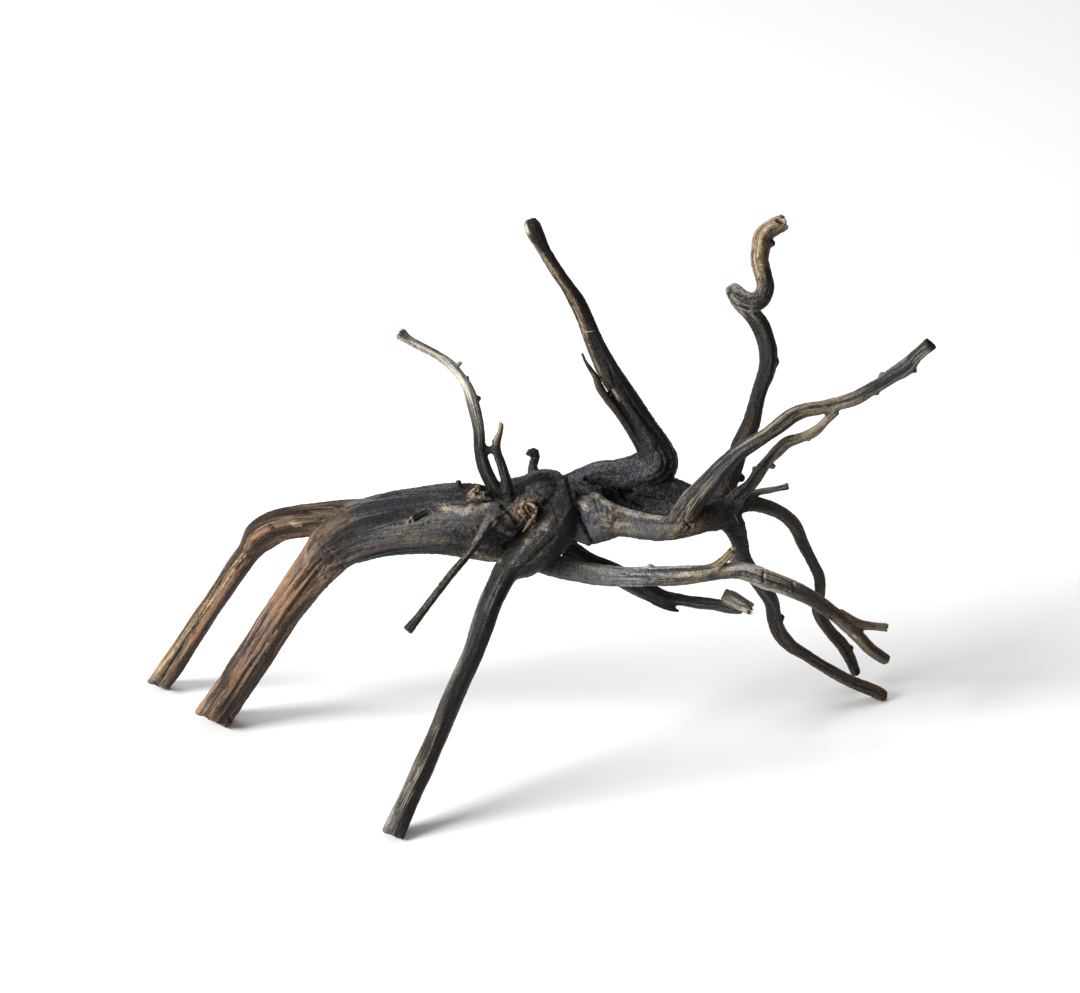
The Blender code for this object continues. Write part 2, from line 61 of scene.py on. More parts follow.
# Stations along each limb: across, up, back from the drawing's plane, and radius, in mm
limbs = {
    "trunk": [
        (-101, -22, 3, 13), (-93.5, -18.8, 1, 14.8), (-84, -16, 0, 15.5), (-70, -13, 0, 16.3),
        (-55, -12, 0, 17), (-40, -11.8, 0, 18.5), (-25, -13.6, 0, 19), (-14, -13.2, 1, 18.6),
        (-3, -10, 3, 19.4), (8, -8.5, 5, 17.3), (19, -6, 6, 14.5), (30, -4.5, 8, 12),
    ],
    "big_leg": [
        (-94, -18.5, 1, 14), (-102.5, -24.5, 4, 12.8), (-109.3, -32, 9, 11.3), (-118, -42.3, 17, 10),
        (-129.2, -57.5, 29, 9.4), (-140.4, -75.6, 42, 9.3), (-152, -94, 56, 9.4), (-164.5, -112, 69, 9.5),
        (-171, -122, 76, 9.5),
    ],
    "small_leg": [
        (-84, -10, 2, 9), (-97.5, -10.5, 4, 8.5), (-111, -11.3, 7, 8.2), (-122, -12.1, 10, 7.8),
        (-131.9, -14.2, 14, 8.1), (-139.7, -19.3, 20, 8), (-145.4, -26.7, 28, 5.9), (-151.7, -35.4, 37, 5.6),
        (-159.6, -47.6, 49, 5.2), (-171, -64.8, 67, 5.8), (-181.8, -81, 83, 6), (-191.8, -94.5, 97, 6),
        (-197, -101.5, 104, 6),
    ],
    "front_leg": [
        (14, 1, -4, 6), (11, -7, -9, 8.5), (7, -15.5, -12, 10.3), (0.5, -23.5, -13, 10.5),
        (-7.2, -30.8, -14, 9.3), (-15.9, -36.7, -15, 6.7), (-20.8, -45, -16, 6), (-25.2, -54.3, -17, 5.7),
        (-28.7, -64.3, -17.5, 5.5), (-33.3, -76.7, -17.5, 5.3), (-42.8, -97.5, -17, 5.1),
        (-52.2, -120.5, -16.5, 5.1), (-64.7, -148.5, -15.5, 5.1), (-74.5, -170, -15, 5.6),
        (-77.5, -176.5, -15, 5.6),
    ],
    "stick": [
        (-20, -10, -15, 3), (-25, -12.8, -19, 2.8), (-30.2, -20.5, -20, 2.5), (-36.3, -29, -21, 2.2),
        (-44.1, -38.2, -23, 2), (-51.8, -48.4, -25, 2.1), (-59.5, -58.7, -27, 2.1), (-66.5, -67.5, -29, 2.6),
        (-69, -70.5, -29.6, 2.6),
    ],
    "pale_twig": [
        (-20, -0.5, -9, 4.5), (-24.5, 7, -11, 3.6), (-28, 14.8, -12, 3.4), (-30, 23, -13, 3.2),
        (-30.7, 33, -14, 2.8), (-32.7, 43, -14.5, 3), (-35.8, 53, -15, 2.9), (-39.9, 60.2, -15.5, 2.2),
        (-45.7, 66.7, -16, 2.4), (-52.4, 71.2, -16.5, 2.1), (-60, 75, -17, 2.1), (-66.2, 78.3, -17.5, 2.2),
        (-70.4, 81.6, -18, 3.2),
    ],
    "short_twig": [
        (-15.5, -2, -12, 3), (-17, 6.5, -13, 2.5), (-19.5, 15, -13.5, 2.3), (-21.8, 22, -14, 2.3),
        (-22, 28, -14, 2.1), (-20.5, 32, -14, 1.5), (-19.6, 36.5, -14, 1.1),
    ],
    "twig_bridge": [(-30, 22, -13, 1.8), (-25.5, 23.2, -13.5, 2.2), (-21.5, 23.5, -14, 1.8)],
    "curl_ridge": [
        (-16, 4.8, 3, 4.2), (-9, 5.6, 6, 4.2), (-4, 8, 9, 4), (0.5, 10, 11, 3.7), (6.5, 10.2, 11, 3.3),
        (11, 7, 8, 3),
    ],
    "curl": [
        (-4, 10, 11, 2.6), (-3.8, 15.5, 12, 2.2), (-2.9, 19.5, 13, 2.3), (-3, 21.7, 13, 2.5),
        (-4.6, 22, 12.5, 2.4), (-5.9, 20.4, 12, 2.2),
    ],
    "tall_root": [
        (8, 0, 6, 8), (19, 6, 6, 7.5), (28.5, 10, 6, 7.5), (38.5, 10.5, 7, 8.3), (49, 12, 8, 9.7),
        (58.3, 16, 8, 10.8), (57, 24.3, 7.5, 8.9), (51.8, 34.3, 6.5, 6.9), (41.3, 51.3, 5, 5.9),
        (34.1, 62.8, 3, 5.4), (29, 72.8, 2, 4.9), (25.5, 80.6, 1, 4.6), (22, 89.2, -1, 4.1),
        (18, 97.9, -2, 3.9), (13.9, 104.7, -3, 3.3), (7.8, 113.6, -4.5, 2.9), (2.4, 122.4, -6, 2.9),
        (-1.4, 129.6, -7, 3.8), (-4, 135, -8, 4.1), (-5.6, 138.5, -8.5, 2.9),
    ],
    "splinter": [
        (55, 17, 5, 4.5), (50, 25, 4.5, 3), (44.8, 33, 3.5, 2.1), (38.5, 42.5, 2, 2), (33.5, 48.8, 1, 2),
        (29.5, 54.8, 0, 1.9), (27.3, 60, -0.5, 1.4), (23, 66.5, -1, 0.9), (20.4, 72, -2, 0.6),
    ],
    "groove_floor": [
        (12, -3, 8, 8), (25, -1.5, 10, 8), (38, -3, 10, 7.5), (50, -5.5, 9, 7), (65, -8, 7, 6.5),
        (78, -9, 5, 6),
    ],
    "back_strand": [
        (48, 8, 9, 8.5), (60, 4.2, 9, 7.5), (71, -0.6, 8, 7.2), (80, -5.5, 7, 7), (90, -6.5, 6, 7.5),
    ],
    "cross_arm": [
        (17.5, -8, 0, 11), (26, -11.5, -4, 13), (33, -12.3, -6, 10.5), (41, -13, -7, 7.3),
        (50, -14.8, -7, 6.9), (58, -15.9, -7, 6.4), (66, -15.8, -6.5, 6.2), (74, -14, -5, 6.6),
        (81.5, -11.2, -2, 6.8), (88, -9.3, 2, 7.8), (95, -7, 5, 7),
    ],
    "front_arm": [
        (60, -17, -4, 4.5), (67, -14.5, -6, 5.5), (72.5, -8.5, -8, 6.2), (76, -3, -9, 6), (80.2, 2, -10, 5.3),
        (86, 9, -11, 4.7), (92.3, 15.8, -12, 4.4), (99, 22, -13, 4.2), (106, 26.5, -14, 3.9),
        (113, 30.8, -15, 3.4), (120.5, 36.5, -16, 3.9), (126, 40.6, -17, 3.9), (132.5, 43.3, -17.5, 3.6),
        (140, 44.5, -18, 3.5), (149, 46.5, -18.5, 3.4), (157.5, 49.3, -19, 3.6), (165, 53.5, -20, 3.3),
        (171, 56.8, -21, 3.2), (176.3, 60.4, -22.5, 3.5), (183, 64.4, -25, 4), (188.6, 70.3, -29, 3.2),
        (195.4, 76.4, -34.3, 3.4),
    ],
    "side_arm": [
        (94, -6, 3, 5), (99.5, 0.8, 0, 3.7), (105, 5.8, -2, 2.9), (109.3, 12, -4, 3), (113.5, 17.7, -6, 2.4),
        (118.6, 22.8, -8, 2.9), (123.5, 27, -10, 3), (130.3, 29.3, -12, 2.6), (136.6, 32.2, -14, 2.7),
        (142.4, 37.4, -16, 2.1), (148, 43, -18, 2.5),
    ],
    "peg": [
        (103, -0.5, 6, 2.5), (108.5, 2, 8, 1.7), (115, 3.3, 9, 1.5), (120, 4.4, 9.7, 1.5),
        (123.8, 5.2, 10.2, 2),
    ],
    "hook_root": [
        (89, -0.5, 10, 7), (93.7, 10, 13, 5.8), (97.5, 18, 15, 4.7), (100.1, 25.7, 17, 4.4),
        (105, 35.5, 19, 4.6), (107.5, 45, 20.5, 4.3), (110, 54, 22, 4), (113.1, 62.5, 23, 4.3),
        (114, 70.5, 24, 4.5), (112.6, 78, 24.5, 4.4), (109.6, 85.5, 25, 4.7), (105, 91.8, 25, 4.3),
        (100.2, 96.6, 24, 4.1), (97.2, 100.8, 20, 3.7), (96.4, 102.8, 14, 3.5), (97.5, 101.8, 8, 3.9),
        (101, 98.5, 5, 4.6), (106, 96.8, 4, 4.8), (110.5, 98.9, 4, 4.7), (112.8, 104.5, 4, 4.4),
        (111.4, 111.5, 5, 4.3), (109.7, 119, 6, 4.5), (110.5, 124.9, 6, 4.7), (111.4, 130.2, 5, 4.6),
        (115, 133.5, 4, 4.6), (118.5, 135.4, 3.5, 4.5), (122.2, 137.2, 3, 4.1),
    ],
    "back_arch": [
        (96, -5, 8, 5), (102.5, -3.7, 9, 4.4), (108.5, -4, 12, 4), (115, -5.8, 18, 3.7), (122, -9.3, 26, 3.5),
        (127.6, -15, 34, 3.5), (131.5, -23.5, 43, 3.1), (136, -32.5, 53, 3.1), (139.3, -40.5, 62, 3.1),
        (139.5, -49, 69, 2.8), (138.2, -56.2, 75, 2.9), (140.6, -61.8, 79, 3.1), (145, -67.9, 84, 3),
        (151.1, -74.8, 89, 3.1), (155.1, -81.8, 93, 2.8), (158, -88.7, 95.8, 2.5),
    ],
    "low_root": [
        (93, -9, 6, 6.5), (97, -15.2, 9, 5.5), (99.4, -22.3, 14, 4.2), (101.6, -30.5, 22, 3.8),
        (106, -38.5, 30, 4), (111.2, -46, 38, 3.9), (115.7, -53.2, 45, 4), (116.9, -61, 52, 3.9),
        (119.7, -68.1, 58, 3.6), (125.8, -75, 63, 3.2), (132.6, -79.1, 68, 3), (139.1, -83.3, 72, 2.9),
        (145, -86.9, 76, 2.9), (151, -90.5, 79, 3), (159, -94.1, 83, 3.2), (166, -96.8, 86, 3.4),
        (171, -99.2, 87.7, 3.3), (173, -99.9, 88.2, 2.3),
    ],
    "long_root": [
        (-4, -31, -8, 5), (4, -33.8, -9, 5.3), (15, -36.8, -9, 5.1), (30, -39.3, -8, 5.2),
        (42.5, -40, -7, 4.8), (55, -39.9, -6, 4.8), (70, -39.5, -4, 4.5), (80, -38.7, -3, 4.3),
        (90, -37.7, -1, 3.9), (100, -37, 2, 4.1), (107.7, -39, 4.5, 4.4), (112.6, -41.2, 7, 4.6),
        (120, -43.8, 11, 4.3), (129.4, -47.8, 17, 4), (136, -51.3, 22, 3.8), (141.9, -55.6, 26, 3.9),
        (148.5, -60.3, 30, 3.6), (154.5, -65.5, 34, 3.7), (159.8, -70.7, 37, 3.2), (163.8, -75.1, 39.5, 3),
        (168.5, -78.8, 42, 2.9), (173.3, -81.7, 44.5, 2.8),
    ],
    "fork": [
        (149, -59, 30, 3), (155, -62.5, 33, 2.9), (160.5, -64.2, 35.5, 2.4), (167, -65, 38, 2),
        (173.5, -65.6, 40.3, 2.2),
    ],
    "torn_stub": [(80, -37.5, -3, 3.5), (86.5, -35.3, -3, 2.9), (92, -31.3, -3, 2.5), (95.8, -27, -3, 2.2)],
    "under_root": [
        (12.5, -26, 10, 5.5), (24.5, -32.8, 12, 4.6), (35, -37.2, 13, 4.8), (45, -42.8, 14, 4.9),
        (54, -47.7, 15, 4.6), (62, -51, 15.5, 3.9), (70.1, -51.6, 16, 3), (78.5, -53, 16.5, 3),
        (86.6, -53.9, 17, 2.8), (94, -55.3, 17.5, 3), (101, -56, 18, 2.6),
    ],
    "under_splinter": [(57, -51.4, 15, 2.8), (63.5, -55, 15, 1.9), (69.3, -57.6, 15, 0.7)],
    "broken_stub": [
        (91.5, -49, 14, 3.2), (95.6, -51, 13.5, 3.6), (100.2, -53.8, 13, 3.5), (105.4, -56.6, 12.2, 3.2),
    ],
    "high_scar": [(-30, -0.5, -12, 4), (-31.5, 3.5, -17, 3.5)],
    "low_scar": [(-3.5, -10.5, -14, 4.5), (-6, -7, -20, 4.3)],
}

# Where a limb is sawn through, as the cut's two ends in the drawing
sawCuts = {
    "big_leg": ((-171.5, -108.5), (-156, -116.3)),
    "small_leg": ((-196.5, -93), (-185, -97)),
    "front_leg": ((-79.5, -167.5), (-69.5, -172)),
    "stick": ((-68.5, -66), (-65, -69)),
}

# Knots, bumps and shoots broken off short: the middle of each and its radius, in mm
nubs = [
    (-41, 6.4, -7, 2.3), (-23.8, 27.7, -14, 1.1), (-40.5, 66.5, -16, 1.3), (-36.5, 59.5, -15.5, 1.3),
    (-31, 49, -14.5, 1.5), (171, 60.3, -21, 1.9), (187.3, 63, -26, 1.8), (168, 52, -20.5, 1.7),
    (115.9, 67.3, 24, 3.6), (100, 9.3, 14, 2.2), (115.9, 126.5, 6, 1.9), (106.8, 14, -3, 1.3),
    (116.2, 15, -5, 1.6), (134, 28.3, -12.5, 1.4), (24.1, -22.9, 0, 2.2), (96.8, -31, 4, 2.8),
    (119.9, -61.0, 52.4, 2.3), (155.2, -75.8, 90.1, 1.5), (55, -35, -6.5, 1.8),
]

# How the wood is made; lengths in mm
woodWork = {
    "sides": 18,                # points round a limb's tube
    "splitSides": {"high_scar": 3, "low_scar": 4, "broken_stub": 5, "torn_stub": 4},   # and round split stubs
    "routeStep": 1.5,
    "girthSpare": 0.1,          # what smoothing takes off the radius
    "voxel": 0.62,
    "quickVoxel": 1.1,
    "smoothRounds": 3,
    "mostTriangles": 192000,
    "blend": 4.0,               # over what distance one limb's grain passes into the next one's
    "limbsAtOnce": 4000,        # how many points are measured together, which only saves memory
    "rowsAtOnce": 20000,
    "flutes": ((3, 0.045, 140.0), (5, 0.03, 90.0)),   # count, depth over radius, length of one twist
    "swelling": (0.35, 14.0),   # depth and length of the slow swellings
    "coarse": (0.42, 3.9, 60.0, 11),    # depth, width, length and pattern of the coarse grain
    "grain": (0.2, 1.6, 28.0, 23),      # the same for the grain
    "crack": (0.8, 3.0, 46.0, 37),      # the same for the drying cracks
    "crackWidth": 0.2,
    "cracked": (9.0, 30.0, 41),         # width, length and pattern of the places that have cracks
    "crackedShare": (0.05, 0.55),       # the pattern's heights at which cracks begin and are full
    "stoutness": (5.5, 0.4, 1.2),       # the radius of plain relief, and its least and most on other limbs
    "reliefShift": 17.3,                # keeps one limb's relief from repeating on the next
    "pits": (0.07, 1.3, 4.0),           # depth and size of the pitting, and how much deeper it is in grit
    "grit": 0.15,               # how far the grain is lost in grit, where grittyParts says nothing
    # depth of torn ends, from how far back, width of a fibre, and the radius of full depth
    "fray": (1.5, 3.2, 1.3, 4.0),
    "crater": 0.6,              # how far the middle of a torn end is sunk
    "bared": (-2.0, -0.6, 0.85),    # where the bared tone begins at a torn tip, where it is full, how full
    "hollowRounds": 24,         # rounds of smoothing against which a hollow is measured
    "hollowShade": (0.05, 0.9),      # the depths at which the painted shade of a hollow begins to show and is full
    "reliefSpan": 0.8,          # how high a ridge is fully pale
    "shadeSide": (1.0, -0.25, -0.15),     # towards the side turned from the key light, which is given painted shade
    "shadeColour": (0.50, 0.42, 0.35),    # what the wood keeps of its colour in that painted shade
    "shadeEdge": (0.0, 0.85),     # how squarely a side faces it to begin to take the painted shade, and to take it whole
    "shadeDryLoss": 0.15,             # how much less dry the painted shade makes it there
    "limbShift": 311.0,         # keeps one limb's colours from repeating on the next
    "sawnDepth": 0.8,
}

# Two colours of each tone: deep in the grain, and dry on its ridges
tones = {
    "soot": ((0.004, 0.004, 0.004), (0.060, 0.050, 0.040)),
    "charcoal": ((0.007, 0.007, 0.008), (0.100, 0.092, 0.082)),
    "slate": ((0.013, 0.015, 0.020), (0.125, 0.128, 0.132)),
    "umber": ((0.010, 0.007, 0.005), (0.140, 0.098, 0.066)),
    "chestnut": ((0.026, 0.014, 0.008), (0.270, 0.165, 0.102)),
    "sandGrey": ((0.019, 0.017, 0.014), (0.268, 0.238, 0.188)),
    "ash": ((0.085, 0.083, 0.076), (0.640, 0.620, 0.565)),
    "tan": ((0.055, 0.036, 0.019), (0.370, 0.265, 0.155)),
    "plum": ((0.017, 0.012, 0.012), (0.150, 0.108, 0.098)),
    "cream": ((0.120, 0.080, 0.045), (0.620, 0.480, 0.310)),
    "bone": ((0.180, 0.140, 0.100), (0.600, 0.520, 0.410)),
}

# Each limb's tones along its length: how far along from 0 to 1, the tone, and how dry it is from 0 to 1
limbTones = {
    "trunk": (
        (0.0, "umber", 0.5), (0.14, "slate", 0.4), (0.3, "slate", 0.5), (0.5, "charcoal", 0.6),
        (0.8, "charcoal", 0.35),
    ),
    "big_leg": (
        (0.0, "umber", 0.5), (0.12, "chestnut", 0.45), (0.3, "chestnut", 0.55), (1.0, "chestnut", 0.6),
    ),
    "small_leg": (
        (0.0, "slate", 0.35), (0.12, "umber", 0.55), (0.3, "chestnut", 0.35), (0.45, "chestnut", 0.4),
        (0.7, "chestnut", 0.5), (1.0, "tan", 0.35),
    ),
    "front_leg": (
        (0.0, "charcoal", 0.15), (0.3, "charcoal", 0.2), (0.45, "charcoal", 0.3), (0.55, "sandGrey", 0.2),
        (1.0, "sandGrey", 0.35),
    ),
    "stick": (
        (0.0, "charcoal", 0.3), (0.12, "slate", 0.5), (0.25, "sandGrey", 0.35), (0.6, "sandGrey", 0.4),
        (1.0, "sandGrey", 0.35),
    ),
    "pale_twig": (
        (0.0, "charcoal", 0.2), (0.33, "charcoal", 0.35), (0.42, "ash", 0.1), (0.55, "ash", 0.5),
        (0.72, "ash", 0.75), (1.0, "ash", 0.6),
    ),
    "short_twig": (
        (0.0, "charcoal", 0.3), (0.3, "sandGrey", 0.45), (0.66, "sandGrey", 0.5), (0.74, "tan", 0.6),
        (1.0, "tan", 0.75),
    ),
    "twig_bridge": ((0.0, "charcoal", 0.2),),
    "curl_ridge": ((0.0, "slate", 0.7),),
    "curl": ((0.0, "charcoal", 0.35), (1.0, "slate", 0.4)),
    "tall_root": (
        (0.0, "charcoal", 0.3), (0.12, "slate", 0.55), (0.24, "slate", 0.5), (0.32, "umber", 0.2),
        (0.4, "soot", 0.25), (0.7, "soot", 0.45), (0.78, "umber", 0.25), (0.93, "umber", 0.3),
        (1.0, "umber", 0.4),
    ),
    "splinter": ((0.0, "charcoal", 0.2), (0.5, "umber", 0.3), (1.0, "umber", 0.45)),
    "groove_floor": ((0.0, "soot", 0.2), (0.5, "charcoal", 0.3), (1.0, "slate", 0.35)),
    "back_strand": ((0.0, "charcoal", 0.2), (1.0, "slate", 0.3)),
    "cross_arm": (
        (0.0, "charcoal", 0.35), (0.15, "slate", 0.8), (0.45, "slate", 0.95), (0.7, "sandGrey", 0.7),
        (0.8, "umber", 0.4), (0.9, "soot", 0.3), (1.0, "soot", 0.3),
    ),
    "front_arm": (
        (0.0, "umber", 0.45), (0.12, "sandGrey", 0.4), (0.25, "slate", 0.55), (0.4, "sandGrey", 0.35),
        (0.75, "sandGrey", 0.45), (0.85, "charcoal", 0.5), (0.96, "sandGrey", 0.4), (0.985, "sandGrey", 0.4),
        (1.0, "soot", 0.1),
    ),
    "side_arm": ((0.0, "slate", 0.7), (0.4, "sandGrey", 0.55), (1.0, "sandGrey", 0.65)),
    "peg": ((0.0, "charcoal", 0.5), (0.5, "slate", 0.8), (1.0, "sandGrey", 0.5)),
    "hook_root": (
        (0.0, "soot", 0.4), (0.1, "charcoal", 0.3), (0.2, "umber", 0.25), (0.27, "soot", 0.35),
        (0.5, "soot", 0.35), (0.56, "sandGrey", 0.5), (0.66, "sandGrey", 0.65), (0.76, "sandGrey", 0.5),
        (0.82, "tan", 0.45), (0.9, "tan", 0.6), (1.0, "tan", 0.55),
    ),
    "back_arch": ((0.0, "charcoal", 0.35), (0.3, "umber", 0.4), (1.0, "umber", 0.6)),
    "low_root": ((0.0, "charcoal", 0.35), (0.4, "charcoal", 0.45), (0.7, "umber", 0.5), (1.0, "umber", 0.7)),
    "long_root": (
        (0.0, "soot", 0.3), (0.06, "charcoal", 0.6), (0.15, "slate", 1.0), (0.28, "ash", 0.5),
        (0.6, "ash", 0.6), (0.7, "ash", 0.2), (0.8, "sandGrey", 0.6), (1.0, "umber", 0.7),
    ),
    "fork": ((0.0, "umber", 0.6), (1.0, "sandGrey", 0.5)),
    "torn_stub": ((0.0, "sandGrey", 0.5), (1.0, "tan", 0.6)),
    "under_root": ((0.0, "soot", 0.2), (0.3, "charcoal", 0.3), (1.0, "slate", 0.4)),
    "under_splinter": ((0.0, "charcoal", 0.2),),
    "broken_stub": ((0.0, "sandGrey", 0.55), (0.8, "ash", 0.2), (1.0, "bone", 0.6)),
    "high_scar": ((0.0, "umber", 0.3), (1.0, "tan", 0.3)),
    "low_scar": ((0.0, "umber", 0.3), (1.0, "tan", 0.25)),
}

